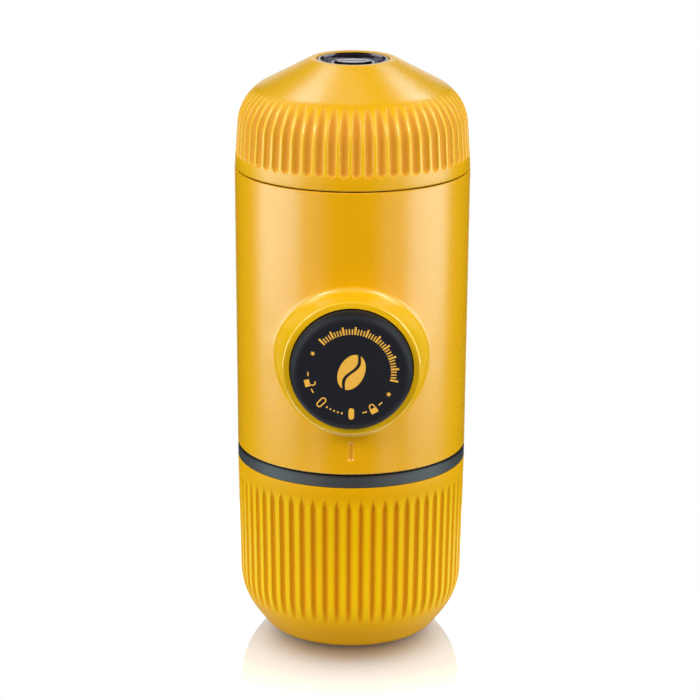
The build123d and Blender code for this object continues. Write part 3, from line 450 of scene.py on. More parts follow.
# %% The polished boss
PISTON_Z = sum(corner.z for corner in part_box("piston_cap")) / 2
BOSS_R, BOSS_BLUR = 19.8 * MM, 1.2 * MM
BEVEL_R, BEVEL_BLUR = 17.5 * MM, 0.3 * MM
FRONT_Y = -22 * MM
BOSS_PAINTED_LIGHT = paint(237, 183, 0)
BEVEL_PAINTED_LIGHT = paint(255, 199, 20)
BOSS_ROUGHNESS = 0.20


def near_piston(tree, radius, blur):
    """1 near the piston's axis on the front of the body, and 0 elsewhere."""
    reach = off_axis(tree, ROUND_PISTON, (0, 0, PISTON_Z))
    inside = between(tree, reach, 1, 0, radius - blur, radius + blur)
    front = between(tree, along(tree, "Y"), 1, 0, FRONT_Y - blur, FRONT_Y + blur)
    return both(tree, inside, front)


tree = yellow_plastic.node_tree
shader = tree.nodes["Principled BSDF"]
yellow = shader.inputs["Base Color"]
boss = near_piston(tree, BOSS_R, BOSS_BLUR)
# Painted light: the boss is painted a lighter yellow, and the bevel, which the cap keeps in shade,
# lighter still.
blended(tree, yellow, boss, BOSS_PAINTED_LIGHT)
blended(tree, yellow, near_piston(tree, BEVEL_R, BEVEL_BLUR), BEVEL_PAINTED_LIGHT)
blended(tree, shader.inputs["Roughness"], boss, BOSS_ROUGHNESS, "FLOAT")
print("boss polished to", round(BOSS_R / MM, 1), "mm about", round(PISTON_Z / MM, 1), "mm up")

# %% [markdown]
# Two seams run round the maker, above and below the body. In a real seam the light is lost between
# two walls that lie close together. So the top of the grey ring's chamfer under the body, and the
# inner edge of the body's upper face, which shows only as a line under the cup, are painted black
# as painted shade, and the seams stay dark from every side.

# %% Painted shade in the seams
RING_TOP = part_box("tank_ring")[1].z
RING_SEAM = 0.5 * MM
CUP_SEAM_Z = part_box("body_shell")[1].z
CUP_SEAM_R = 30.45 * MM
CUP_SEAM_DEEP, CUP_SEAM_FULL_SHADE = 0.10 * MM, 0.03 * MM
SEAM_PAINTED_SHADE = paint(6, 6, 7)

height = along(tree, "Z")
upper_face = between(tree, height, 0, 1, CUP_SEAM_Z - CUP_SEAM_DEEP, CUP_SEAM_Z - CUP_SEAM_FULL_SHADE)
reach = off_axis(tree, ROUND_UPRIGHT, (0, 0, 0))
inner_edge = between(tree, reach, 1, 0, CUP_SEAM_R, CUP_SEAM_R + CUP_SEAM_DEEP)
# Painted shade: the inner edge of the body's upper face is painted black.
blended(tree, yellow, both(tree, upper_face, inner_edge), SEAM_PAINTED_SHADE)

tree = grey_plastic.node_tree
height = along(tree, "Z")
chamfer = between(tree, height, 0, 1, RING_TOP - RING_SEAM, RING_TOP - RING_SEAM / 2)
# Painted shade: the top of the grey ring's chamfer is painted black.
blended(tree, tree.nodes["Principled BSDF"].inputs["Base Color"], chamfer, SEAM_PAINTED_SHADE)
print("seams at", round(RING_TOP / MM, 1), "and", round(CUP_SEAM_Z / MM, 1), "mm")

# %% [markdown]
# ## Metals and printing ink
# The badge is plated in dark chrome, which shows as metal by the room that it mirrors. A slight
# haze, uneven over the disc, keeps the mirror from being perfect. The pump's steel is drawn or
# turned, so its skin carries fine lines along one way: the same noise, stretched. The gold ink of
# the marks is no metal but a paint with a fine grain.

# %% Metals
BADGE_HAZE, BADGE_DETAIL = 260, 3.0
STEEL_GRAIN, STEEL_STRETCH, STEEL_DEPTH = 900, (1, 1, 0.06), 0.006 * MM


def metal(name, colour, roughness, grain, detail=2.0, stretch=(1, 1, 1), depth=0):
    """Bare metal, its polish wandering between two values of roughness."""
    material, tree, shader = new_finish(name, colour, sum(roughness) / 2, metallic=1.0)
    polish = noise(tree, grain, detail, stretch)
    tree.links.new(between(tree, polish, *roughness), shader.inputs["Roughness"])
    if depth:
        add_bump(tree, shader, polish, depth)
    return material


dark_chrome = metal(
    "dark_chrome", paint(138, 134, 144), (0.10, 0.18), BADGE_HAZE, BADGE_DETAIL
)
steel = metal(
    "steel",
    paint(196, 194, 190),
    (0.22, 0.36),
    STEEL_GRAIN,
    stretch=STEEL_STRETCH,
    depth=STEEL_DEPTH,
)

# %% Printing ink
INK_GRAIN = 5200
INK_TONES = paint(238, 176, 62), paint(250, 192, 78)
INK_ROUGHNESS = 0.38, 0.52

gold_print, tree, shader = new_finish("gold_print", paint(244, 184, 70), 0.45)
speck = noise(tree, INK_GRAIN)
add_tone(tree, shader, between(tree, speck, 0, 1), *INK_TONES)
tree.links.new(between(tree, speck, *INK_ROUGHNESS), shader.inputs["Roughness"])

# %% [markdown]
# ## Finishes on the CAD parts
# Each CAD part names a slot for its material. Every slot gets one of the finishes above, so a part
# that is added later is dressed by the same loop.

# %% Dress the CAD parts
FINISHES = {
    "yellow_shell": yellow_plastic,
    "dark_chrome": dark_chrome,
    "grey_ring": grey_plastic,
    "soft_black": soft_black,
    "black_plastic": black_plastic,
    "pump_plastic": pump_plastic,
    "silicone": silicone,
    "steel": steel,
}
for part in cad.values():
    slot_name = part.material_slots[0].name.split(".")[0]
    part.material_slots[0].material = FINISHES[slot_name]
print("dressed", len(cad), "CAD parts")

# %% [markdown]
# ## Turned walls
# Cup and tank are bodies of revolution. An outline of a few corners, each with its own rounding,
# is spun about the upright axis. That gives clean rings of faces, which a boolean would not.
# Outlines are in millimetres, as (distance from the axis, height), and a straight stretch is a line
# with a point and a direction, so a corner is simply where two lines meet.


# %% Outlines
ARC_GRAIN = 0.4
INNER_GRAIN = 1.5


def line(r, z, degrees, inset=0.0):
    """Line of an outline as a point and a direction, moved in by inset."""
    way = Vector((math.cos(math.radians(degrees)), math.sin(math.radians(degrees))))
    return Vector((r, z)) + Vector((-way.y, way.x)) * inset, way


def meet(first, second):
    """Point where two lines cross."""
    (start, way), (other, other_way) = first, second
    return start + way * ((other - start).cross(other_way) / way.cross(other_way))


def rounded(corners, grain=ARC_GRAIN):
    """Outline through (point, rounding) corners in millimetres, with arcs in steps of grain."""
    outline = []
    for place, (point, rounding) in enumerate(corners):
        here = Vector(point)
        if not rounding:
            outline.append(here)
            continue
        to_last = (Vector(corners[place - 1][0]) - here).normalized()
        to_next = (Vector(corners[place + 1][0]) - here).normalized()
        half = to_last.angle(to_next) / 2
        centre = here + (to_last + to_next).normalized() * rounding / math.sin(half)
        spoke = here + to_last * rounding / math.tan(half) - centre
        sweep = math.pi - 2 * half
        steps = max(3, math.ceil(sweep * rounding / grain))
        if to_last.cross(to_next) > 0:
            sweep = -sweep
        for step in range(steps + 1):
            outline.append(centre + Matrix.Rotation(sweep * step / steps, 2) @ spoke)
    return outline


# %% Spinning and finishing a piece
def spin(bm, geometry, degrees, steps, **options):
    """Turns geometry about the upright axis."""
    angle = math.radians(degrees)
    return bmesh.ops.spin(
        bm, geom=geometry, cent=(0, 0, 0), axis=(0, 0, 1), angle=angle, steps=steps, **options
    )


def finish_piece(bm, name, material, slot_name, body, *replaced, sharpest=40):
    """Smooth piece of a bmesh, riding on its body in place of the CAD parts it stands for."""
    bmesh.ops.recalc_face_normals(bm, faces=bm.faces)
    for face in bm.faces:
        face.smooth = True
    for edge in bm.edges:
        edge.smooth = edge.calc_face_angle(0) < math.radians(sharpest)
    mesh = bpy.data.meshes.new(name)
    bm.to_mesh(mesh)
    bm.free()
    mesh.materials.append(material)
    piece = bpy.data.objects.new(name, mesh)
    bpy.context.scene.collection.objects.link(piece)
    if body:
        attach(piece, body)
    if replaced:
        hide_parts(*replaced)
    print(name, sum(len(face.vertices) - 2 for face in mesh.polygons), "triangles")
    return piece


# %% [markdown]
# ## Flutes
# Sixty flutes run up cup and tank. Booleans could cut them, but would leave slivers at the lips.
# So the outline is spun through one flute only, from the middle of one ridge to the middle of the
# next. Every column of vertices is then slid sideways, so that edges of the mesh lie along the
# flute's lips, and pressed in to the flute's floor. The columns stand close at the lips, where the
# surface turns fast. At last the flute is repeated all round.
# Each vertex also keeps how far it lies in a groove (up to 1) or on a ridge (down to -1), which is
# what the ribbed plastics read for their gloss and for painted shade in the grooves and painted
# light on the ridges.

# %% Flutes
FLUTES = 60
# Columns from the middle of a flute, as shares of its half width; its lip is at 1.
FLUTE_COLUMNS = (0.0, 0.34, 0.64, 0.84, 0.96, 1.08)
RIDGE_COLUMNS = 3
LEAST_HALF_WIDTH = 0.25
# A calm row of the wall just below a flute's round end, as a share of the end's length.
CALM_ROW = 1.3
# A shallow flute's lips are softened by its depth over this, at most.
SOFTEST_PART = 3
# The groove value, which sets the painted shade, is full from this depth in millimetres, and falls
# to END_TONE in a round end.
FULL_GROOVE = 0.5
END_TONE = 0.2
WELD = 1e-7


def slid_column(column, half_width, half_pitch):
    """Distance of a column from the middle of its flute, in millimetres."""
    rank = abs(column)
    if rank < len(FLUTE_COLUMNS):
        return math.copysign(FLUTE_COLUMNS[rank] * half_width, column)
    lip = FLUTE_COLUMNS[-1] * half_width
    share = (rank - len(FLUTE_COLUMNS) + 1) / RIDGE_COLUMNS
    return math.copysign(lip + (half_pitch - lip) * share, column)


# %% A fluted wall
def fluted(outline, first_angle, radius, softness, section):
    """Spun wall with round flutes, whose lips are as soft as softness.

    section(point) gives how far the cutter's axis stands off the wall there, how far the point
    lies past the cutter's round end, and the way inwards.
    """
    bm = bmesh.new()
    groove = bm.verts.layers.float.new("groove")
    pitch = 2 * math.pi / FLUTES
    columns = len(FLUTE_COLUMNS) - 1 + RIDGE_COLUMNS
    start = Matrix.Rotation(-pitch / 2, 3, "Z")
    chain = [bm.verts.new(start @ Vector((point.x, 0, point.y)) * MM) for point in outline]
    edges = [bm.edges.new(pair) for pair in zip(chain, chain[1:] + chain[:1])]
    spin(bm, chain + edges, 360 / FLUTES, 2 * columns)
    for vert in bm.verts:
        point = Vector((math.hypot(vert.co.x, vert.co.y), vert.co.z)) / MM
        stand, past, inward = section(point)
        room = radius**2 - stand**2 - past**2
        if room <= 0 or stand < 0:
            continue
        half_width = math.sqrt(room)
        column = round(math.atan2(vert.co.y, vert.co.x) / pitch * 2 * columns)
        across = slid_column(column, max(half_width, LEAST_HALF_WIDTH), pitch * point.x / 2)
        beyond = max(0, abs(across) - half_width)
        cut = math.sqrt(radius**2 - past**2 - min(abs(across), half_width) ** 2) - stand
        cut -= beyond * half_width / stand
        deepest = math.sqrt(radius**2 - past**2) - stand
        depth = (cut + math.hypot(cut, min(softness, deepest / SOFTEST_PART))) / 2
        angle = across / point.x
        phase = min(abs(across), half_width) / half_width
        phase += beyond / (pitch * point.x / 2 - half_width)
        tone = min(1, deepest / FULL_GROOVE, 1 + END_TONE - past / radius)
        vert[groove] = math.cos(math.pi * phase / 2) * tone
        point += inward * depth
        vert.co = Vector((point.x * math.cos(angle), point.x * math.sin(angle), point.y)) * MM
    everything = bm.verts[:] + bm.edges[:] + bm.faces[:]
    spin(bm, everything, 360 - 360 / FLUTES, FLUTES - 1, use_duplicate=True)
    bmesh.ops.remove_doubles(bm, verts=bm.verts, dist=WELD)
    bm.transform(Matrix.Rotation(math.radians(first_angle), 4, "Z"))
    return bm


# %% Where flutes begin and run out
def round_end(wall, centre_z, radius, stand):
    """Rows of a wall across the round lower end of its flutes, as outline corners."""
    end = math.sqrt(radius**2 - stand**2)
    parts = CALM_ROW, *reversed(FLUTE_COLUMNS)
    return [(meet(wall, line(0, centre_z - part * end, 0)), 0) for part in parts]


def run_out(bend, out, shoulder_r, leave_angle, depth):
    """Arc on which a flute's floor leaves a rounded shoulder: its hub and its radius."""
    start = bend - out * depth
    chord = bend - out * shoulder_r + line(0, 0, leave_angle)[1] * shoulder_r - start
    radius = chord.length_squared / (-2 * chord.dot(out))
    return start - out * radius, radius


# %% [markdown]
# ## The drinking cup
# The cup stands upside down on the body. Its wall leans in a little so that it leaves the mould,
# turns over a large shoulder and rises as a flat cone to a small rim round the badge. Each flute
# begins with a round end above the seam. On the shoulder its cutter follows a wider arc than the
# wall does, so the flute grows shallow and runs out.

# %% The cup's outline
# In millimetres, with DRAFT, SLOPE, FADE and TURN in degrees. A flute runs out at FADE on the
# shoulder, TURN sets the flutes about the axis, and LIP is how soft their lips are.
SEAM_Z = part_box("body_shell")[1].z / MM
CUP_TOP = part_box("cup_shell")[1].z / MM
SEAM_R = 31.0
CUP_SEAM = 0.35
CUP_SKIRT_R = 29.6
CUP_BORE_R = 28.75
CUP_BORE = 5.0
CUP_WALL = 2.2
CUP_DRAFT = 3.74
CUP_SLOPE = 28.1
CUP_SHOULDER_R = 12.56
CUP_RIM_R = 11.2
CUP_RIM_ROUND = 0.5
CUP_EDGE_ROUND = 0.3
CUP_CEILING_ROUND = 1.0
CUP_BADGE_R = 9.65
CUP_BADGE_RECESS = 2.6
CUP_FLUTE_R = 1.26
CUP_FLUTE_DEPTH = 0.75
CUP_FLUTE_START = 3.6
CUP_FLUTE_FADE = 53.0
CUP_FLUTE_TURN = 1.9
CUP_LIP = 0.09

cup_wall = line(SEAM_R, SEAM_Z, 90 + CUP_DRAFT)
cup_slope = line(CUP_RIM_R, CUP_TOP, 180 - CUP_SLOPE)
cup_corner = meet(cup_wall, cup_slope)
cup_end_z = SEAM_Z + CUP_FLUTE_START + CUP_FLUTE_R
cup_stand = CUP_FLUTE_R - CUP_FLUTE_DEPTH
outside = rounded(
    [
        ((CUP_SKIRT_R, SEAM_Z + CUP_SEAM), 0),
        (meet(cup_wall, line(0, SEAM_Z + CUP_SEAM, 0)), CUP_EDGE_ROUND),
    ]
    + round_end(cup_wall, cup_end_z, CUP_FLUTE_R, cup_stand)
    + [
        (cup_corner, CUP_SHOULDER_R),
        ((CUP_RIM_R, CUP_TOP), CUP_RIM_ROUND),
        ((CUP_BADGE_R, CUP_TOP), 0),
        ((CUP_BADGE_R, CUP_TOP - CUP_BADGE_RECESS), 0),
        ((0, CUP_TOP - CUP_BADGE_RECESS), 0),
    ]
)

# %% The inside of the cup
inner_wall = line(SEAM_R, SEAM_Z, 90 + CUP_DRAFT, CUP_WALL)
inner_slope = line(CUP_RIM_R, CUP_TOP, 180 - CUP_SLOPE, CUP_WALL)
ceiling = line(0, CUP_TOP - CUP_BADGE_RECESS - CUP_WALL, 0)
bore_z = SEAM_Z + CUP_SEAM + CUP_BORE
inside = rounded(
    [
        (ceiling[0], 0),
        (meet(ceiling, inner_slope), CUP_CEILING_ROUND),
        (meet(inner_slope, inner_wall), CUP_SHOULDER_R - CUP_WALL),
        (meet(inner_wall, line(0, bore_z, 0)), 0),
        ((CUP_BORE_R, bore_z), 0),
        ((CUP_BORE_R, SEAM_Z), 0),
        ((CUP_SKIRT_R, SEAM_Z), 0),
        ((CUP_SKIRT_R, SEAM_Z + CUP_SEAM), 0),
    ],
    grain=INNER_GRAIN,
)
print("cup", round(CUP_TOP - SEAM_Z, 1), "mm tall over the seam")

# %% The cup's flutes
bend_run = CUP_SHOULDER_R * math.tan(math.radians(90 - CUP_DRAFT - CUP_SLOPE) / 2)
bend = cup_corner - cup_wall[1] * bend_run
cup_out = Vector((cup_wall[1].y, -cup_wall[1].x))
cup_hub, cup_floor_r = run_out(
    bend, cup_out, CUP_SHOULDER_R, CUP_FLUTE_FADE, CUP_FLUTE_DEPTH
)


def cup_section(point):
    """Where the flutes' cutter runs past a point of the cup's wall."""
    if (point - bend).dot(cup_wall[1]) <= 0:
        stand = (bend - point).dot(cup_out) + cup_stand
        return stand, max(0, (cup_end_z - point.y) / cup_wall[1].y), -cup_out
    inward = (cup_hub - point).normalized()
    return cup_floor_r + CUP_FLUTE_R - (point - cup_hub).length, 0, inward


bm = fluted(outside + inside[1:-1], CUP_FLUTE_TURN - 90, CUP_FLUTE_R, CUP_LIP, cup_section)
finish_piece(bm, "ribbed_cup", cup_plastic, "yellow_shell", "cup", "cup_shell")

# %% [markdown]
# ## The water tank
# The tank stands on a small flat foot, flares out over a rounded heel and rises with a slight
# outward lean. Its flutes are shallower than the cup's. Above they fade in softly, and below they
# run a little way round the shoulder and fade out.

# %% The tank's outline
# In millimetres and degrees, as for the cup. FLUTE_TOP is the plain band over the flutes.
TANK_TOP = 48.05
TANK_TOP_R = 30.5
TANK_SPIGOT_R = 28.6
TANK_SPIGOT_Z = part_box("tank_shell")[1].z / MM
TANK_BORE_R = 27.4
TANK_BORE = 10.0
TANK_WALL = 2.5
TANK_DRAFT = 1.09
TANK_FOOT_R = 22.0
TANK_FLARE = 52.2
TANK_SHOULDER_R = 18.9
TANK_HEEL_R = 5.0
TANK_RIM_ROUND = 0.25
TANK_FLUTE_R = 0.82
TANK_FLUTE_DEPTH = 0.65
TANK_FLUTE_TOP = 3.0
TANK_FLUTE_FADE_IN = 3.6
FADE_IN_ROWS = 8
TANK_FLUTE_FADE = -24.5
TANK_FLUTE_TURN = -0.9
TANK_LIP = 0.2

tank_wall = line(TANK_TOP_R, TANK_TOP, 90 - TANK_DRAFT)
tank_flare = line(TANK_FOOT_R, 0, TANK_FLARE)
tank_full_z = TANK_TOP - TANK_FLUTE_TOP - TANK_FLUTE_FADE_IN
fade_in_levels = [
    tank_full_z + TANK_FLUTE_FADE_IN * row / FADE_IN_ROWS for row in range(FADE_IN_ROWS + 2)
]
fade_in = [(meet(tank_wall, line(0, level, 0)), 0) for level in fade_in_levels]
tank_stand = TANK_FLUTE_R - TANK_FLUTE_DEPTH
outside = rounded(
    [
        ((0, 0), 0),
        (meet(line(0, 0, 0), tank_flare), TANK_HEEL_R),
        (meet(tank_flare, tank_wall), TANK_SHOULDER_R),
    ]
    + fade_in
    + [
        ((TANK_TOP_R, TANK_TOP), TANK_RIM_ROUND),
        ((TANK_SPIGOT_R, TANK_TOP), 0),
        ((TANK_SPIGOT_R, TANK_SPIGOT_Z), 0),
        ((TANK_BORE_R, TANK_SPIGOT_Z), 0),
    ]
)

# %% The inside of the tank
inner_wall = line(TANK_TOP_R, TANK_TOP, 90 - TANK_DRAFT, TANK_WALL)
inner_flare = line(TANK_FOOT_R, 0, TANK_FLARE, TANK_WALL)
bore_z = TANK_SPIGOT_Z - TANK_BORE
inside = rounded(
    [
        ((TANK_BORE_R, TANK_SPIGOT_Z), 0),
        ((TANK_BORE_R, bore_z), 0),
        (meet(inner_wall, line(0, bore_z, 0)), 0),
        (meet(inner_wall, inner_flare), TANK_SHOULDER_R - TANK_WALL),
        (meet(inner_flare, line(0, TANK_WALL, 0)), TANK_HEEL_R - TANK_WALL),
        ((0, TANK_WALL), 0),
    ],
    grain=INNER_GRAIN,
)
print("tank", TANK_TOP, "mm tall, wall", TANK_WALL, "mm")

# %% The tank's flutes
tank_corner = meet(tank_flare, tank_wall)
heel_run = TANK_SHOULDER_R * math.tan(math.radians(90 - TANK_DRAFT - TANK_FLARE) / 2)
heel = tank_corner + tank_wall[1] * heel_run
tank_out = Vector((tank_wall[1].y, -tank_wall[1].x))
heel_hub, heel_floor_r = run_out(
    heel, tank_out, TANK_SHOULDER_R, TANK_FLUTE_FADE, TANK_FLUTE_DEPTH
)


def tank_section(point):
    """Where the flutes' cutter runs past a point of the tank's wall."""
    if (point - heel).dot(tank_wall[1]) >= 0:
        share = min(1, max(0, (point.y - tank_full_z) / TANK_FLUTE_FADE_IN))
        floor_depth = TANK_FLUTE_DEPTH * (1 + math.cos(math.pi * share)) / 2
        past = math.sqrt(TANK_FLUTE_R**2 - (tank_stand + floor_depth) ** 2)
        return (heel - point).dot(tank_out) + tank_stand, past, -tank_out
    inward = (heel_hub - point).normalized()
    return heel_floor_r + TANK_FLUTE_R - (point - heel_hub).length, 0, inward


# %% [markdown]
# Inside, a thread of one and a quarter turns holds the tank on the pump's neck. A thread is a spin
# that also climbs, and the same tool winds the springs further down. The ridge's root is sunk a
# little into the wall, so no gap shows between them.

# %% The tank's thread
THREAD_PITCH = 4.0
THREAD_TURNS = 1.25
THREAD_STEPS = 90
THREAD_START = 44.5
THREAD_HEIGHT = 1.0
THREAD_SINK = 0.3
THREAD_ROOT = 1.7
THREAD_CREST = 0.9


def screw(bm, outline, pitch, turns, steps):
    """Closed ridge that an outline in millimetres leaves on its way round and up the axis."""
    face = bm.faces.new([bm.verts.new((r * MM, 0, z * MM)) for r, z in outline])
    climb = (0, 0, pitch * turns / steps * MM)
    swept = spin(bm, list(face.verts) + list(face.edges), 360 * turns, steps, dvec=climb)
    bm.faces.new([item for item in swept["geom_last"] if isinstance(item, bmesh.types.BMVert)])


bm = fluted(outside + inside[1:], TANK_FLUTE_TURN - 90, TANK_FLUTE_R, TANK_LIP, tank_section)
ridge = [
    (TANK_BORE_R + THREAD_SINK, THREAD_START - THREAD_ROOT / 2),
    (TANK_BORE_R + THREAD_SINK, THREAD_START + THREAD_ROOT / 2),
    (TANK_BORE_R - THREAD_HEIGHT, THREAD_START + THREAD_CREST / 2),
    (TANK_BORE_R - THREAD_HEIGHT, THREAD_START - THREAD_CREST / 2),
]
screw(bm, ridge, THREAD_PITCH, THREAD_TURNS, THREAD_STEPS)
finish_piece(bm, "ribbed_tank", tank_plastic, "yellow_shell", "tank", "tank_shell")

# %% [markdown]
# ## Springs
# The return spring sits round the piston's rod, between the frame and the seat behind the piston.
# Two small ones press the balls of the valves on their seats. Each is swept by the same screw
# motion as the tank's thread, and takes the place of its CAD spring without riding on a body.

# %% Springs
SPRING_SIDES = 12
SPRING_TURN_STEPS = 48
SPRING_CREASE = 60
RETURN_TURNS, RETURN_WIRE_R = 7, 0.6
VALVE_TURNS, VALVE_WIRE_R = 5, 0.22
FORWARD, DOWN = (0, -1, 0), (0, 0, -1)


def coil_spring(name, node, turns, wire_r, way):
    """Spring in place of a CAD one, wound along way."""
    low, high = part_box(node)
    way = Vector(way)
    coil_r = (high.x - low.x) / 2 / MM - wire_r
    length = abs((high - low).dot(way)) - 2 * wire_r * MM
    start = (low + high) / 2 - way * length / 2
    wire = [
        (coil_r + wire_r * math.cos(turn), wire_r * math.sin(turn))
        for turn in (2 * math.pi * side / SPRING_SIDES for side in range(SPRING_SIDES))
    ]
    bm = bmesh.new()
    screw(bm, wire, length / MM / turns, turns, SPRING_TURN_STEPS * turns)
    bm.transform(Matrix.Translation(start) @ way.to_track_quat("Z", "Y").to_matrix().to_4x4())
    spring = finish_piece(bm, name, steel, "steel", None, node, sharpest=SPRING_CREASE)
    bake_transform(spring)


coil_spring(
    "return_spring", "piston_spring", RETURN_TURNS, RETURN_WIRE_R, FORWARD
)
coil_spring(
    "inlet_valve_spring", "inlet_spring", VALVE_TURNS, VALVE_WIRE_R, DOWN
)
coil_spring(
    "outlet_valve_spring", "outlet_spring", VALVE_TURNS, VALVE_WIRE_R, DOWN
)

# %% [markdown]
# ## Printed marks on the piston
# The round end of the piston is slightly dished and carries marks printed in gold: a coffee bean
# in the middle, a row of ticks round the upper side between two stars, and below them a filled slot
# and an open slot with dots between, and a closed and an open padlock. The filled slot stands at
# the bottom while the piston is locked. Printing could be a pattern in the material, but an edge
# that fine is sharper as geometry, so each mark is a thin body that follows the dish and is sunk
# into it.

# %% Drawing on the dish
PRINT_RISE = 0.02
PRINT_DEPTH = 0.12
DISH_R = 13.2
DISH_DEPTH = 0.45
BAND_R = 11.1
LINE = 0.34

cap_low, cap_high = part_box("piston_cap")
DISH_CURVE = (DISH_R**2 + DISH_DEPTH**2) / (2 * DISH_DEPTH)
UPRIGHT = Vector((0, 0)), Vector((0, 1))
marks = bmesh.new()


def printed(x, z):
    """Vertex on the dish; x to the right and z up from the piston's axis, in millimetres."""
    fall = DISH_DEPTH - DISH_CURVE + math.sqrt(DISH_CURVE**2 - x * x - z * z)
    place = Vector((x, fall - PRINT_RISE, z)) * MM
    return marks.verts.new(place + Vector((0, cap_low.y, (cap_low.z + cap_high.z) / 2)))


def at(angle, radius=BAND_R):
    """Frame of a mark: its place on the dish and its upward way, which looks to the middle."""
    outward = Vector((math.cos(math.radians(angle)), math.sin(math.radians(angle))))
    return outward * radius, -outward


def fill(frame_of_mark, points):
    """Solid mark with the given outline."""
    place, up = frame_of_mark
    right = Vector((up.y, -up.x))
    marks.faces.new([printed(*(place + right * x + up * z)) for x, z in points])


def stroke(frame_of_mark, points, width=LINE, closed=False):
    """Line of a given width through points."""
    place, up = frame_of_mark
    right = Vector((up.y, -up.x))
    chain = [place + right * x + up * z for x, z in points]
    rows = []
    for step, point in enumerate(chain):
        last = chain[step - 1] if step or closed else point
        following = chain[(step + 1) % len(chain)] if step + 1 < len(chain) or closed else point
        way = (following - last).normalized()
        side = Vector((-way.y, way.x)) * width / 2
        rows.append((printed(*(point - side)), printed(*(point + side))))
    pairs = list(zip(rows, rows[1:])) + ([(rows[-1], rows[0])] if closed else [])
    for (a, b), (c, d) in pairs:
        marks.faces.new((a, c, d, b))


# %% Outlines of marks
SLOT_END_STEPS = 8


def arc(radius, start, end, steps, z=0.0, tall=1.0):
    """Points along an arc, with angles in degrees."""
    turns = [math.radians(start + (end - start) * step / steps) for step in range(steps + 1)]
    return [(radius * math.cos(turn), z + tall * radius * math.sin(turn)) for turn in turns]


def capsule(length, width):
    """Outline of an upright slot with round ends."""
    straight = (length - width) / 2
    upper = arc(width / 2, 0, 180, SLOT_END_STEPS, straight)
    return upper + arc(width / 2, 180, 360, SLOT_END_STEPS, -straight)


def star(points, radius, waist):
    """Outline of a star."""
    turns = [math.pi / 2 + math.pi * step / points for step in range(2 * points)]
    reach = [waist if step % 2 else radius for step in range(2 * points)]
    return [(far * math.cos(turn), far * math.sin(turn)) for far, turn in zip(reach, turns)]


# %% Slots, dots and stars
# Angles on the band in degrees, counted anticlockwise from the right; sizes in millimetres.
LOCKED, UNLOCKED = -90, -134
SLOT_R = 11.0
SLOT_LENGTH, SLOT_WIDTH = 3.0, 1.45
OPEN_SLOT_EXTRA = 0.15
DOTS, DOT_R, DOT_SIDES = 5, 0.26, 12
FIRST_DOT, DOT_STEP = -102.5, -5.4
STARS = 153, -31
STAR_POINTS, STAR_R, STAR_WAIST = 5, 0.72, 0.34

fill(at(LOCKED, SLOT_R), capsule(SLOT_LENGTH, SLOT_WIDTH))
open_slot = capsule(SLOT_LENGTH - LINE, SLOT_WIDTH - LINE + OPEN_SLOT_EXTRA)
stroke(at(UNLOCKED, SLOT_R), open_slot[:-1], closed=True)
for dot in range(DOTS):
    fill(at(FIRST_DOT + DOT_STEP * dot), arc(DOT_R, 0, 360 - 360 / DOT_SIDES, DOT_SIDES - 1))
for angle in STARS:
    fill(at(angle), star(STAR_POINTS, STAR_R, STAR_WAIST))
print("slots, dots and stars:", len(marks.faces), "faces")

# %% Ticks
TICKS_FROM, TICKS_TO, TICK_STEPS = 133, -11, 36
TICK_LENGTH, TICK_SHORTER = 2.1, 0.62
LONG_TICK_EVERY = 4
LONG_TICK_LINE = 1.5 * LINE

for tick in range(TICK_STEPS + 1):
    angle = TICKS_FROM + (TICKS_TO - TICKS_FROM) * tick / TICK_STEPS
    shorter = TICK_SHORTER if tick % LONG_TICK_EVERY else 0
    ends = [(0, shorter - TICK_LENGTH / 2), (0, TICK_LENGTH / 2)]
    stroke(at(angle), ends, LINE if shorter else LONG_TICK_LINE)
print(TICK_STEPS + 1, "ticks")

# %% Padlocks
PADLOCKS = (-60, 0), (-166, 30)
CASE_SIDE, CASE_FOOT, CASE_TOP = 0.95, -1.2, 0.15
SHACKLE_R, SHACKLE_BEND, SHACKLE_FOOT = 0.62, 0.62, 0.25
SHACKLE_STEPS = 10
# The open shackle lacks this many points at its free end.
SHACKLE_CUT = 3
HINGE = Vector((SHACKLE_R, 0.2))
DASH_TURNS = 9, 12, 15

for angle, swing in PADLOCKS:
    mark = at(angle)
    foot = [(-CASE_SIDE, CASE_FOOT), (CASE_SIDE, CASE_FOOT)]
    fill(mark, foot + [(CASE_SIDE, CASE_TOP), (-CASE_SIDE, CASE_TOP)])
    bow = arc(SHACKLE_R, 180, 0, SHACKLE_STEPS, SHACKLE_BEND)
    shackle = [(-SHACKLE_R, SHACKLE_FOOT), *bow, (SHACKLE_R, SHACKLE_FOOT)]
    swung = Matrix.Rotation(math.radians(-swing), 2)
    shackle = [swung @ (Vector(point) - HINGE) + HINGE for point in shackle]
    stroke(mark, shackle[SHACKLE_CUT:] if swing else shackle)
    for side in (-1, 1):
        stroke(UPRIGHT, [at(angle + side * turn)[0] for turn in DASH_TURNS])
print(len(PADLOCKS), "padlocks")

# %% The bean in the middle
BEAN_HALF_WIDTH = 3.3
BEAN_HALF_HEIGHT = 4.9
BEAN_GAP = 0.42
BEAN_LEAN = 24
CREASE_SWING, CREASE_REACH, CREASE_PARTS = 0.9, 0.985, 8
SHELL_FROM, SHELL_TO, SHELL_STEPS = 7, 173, 28

lean = Matrix.Rotation(math.radians(-BEAN_LEAN), 2)
tall = BEAN_HALF_HEIGHT / BEAN_HALF_WIDTH
crease = [
    (
        CREASE_SWING * math.sin(math.pi * part / CREASE_PARTS),
        BEAN_HALF_HEIGHT * CREASE_REACH * part / CREASE_PARTS,
    )
    for part in range(CREASE_PARTS, -CREASE_PARTS - 1, -1)
]
for side in (-1, 1):
    start, end = -90 + side * SHELL_FROM, -90 + side * SHELL_TO
    shell = arc(BEAN_HALF_WIDTH, start, end, SHELL_STEPS, tall=tall)
    slit = [(x + side * BEAN_GAP, z) for x, z in crease[1:-1]]
    fill((UPRIGHT[0], lean @ UPRIGHT[1]), shell + slit)

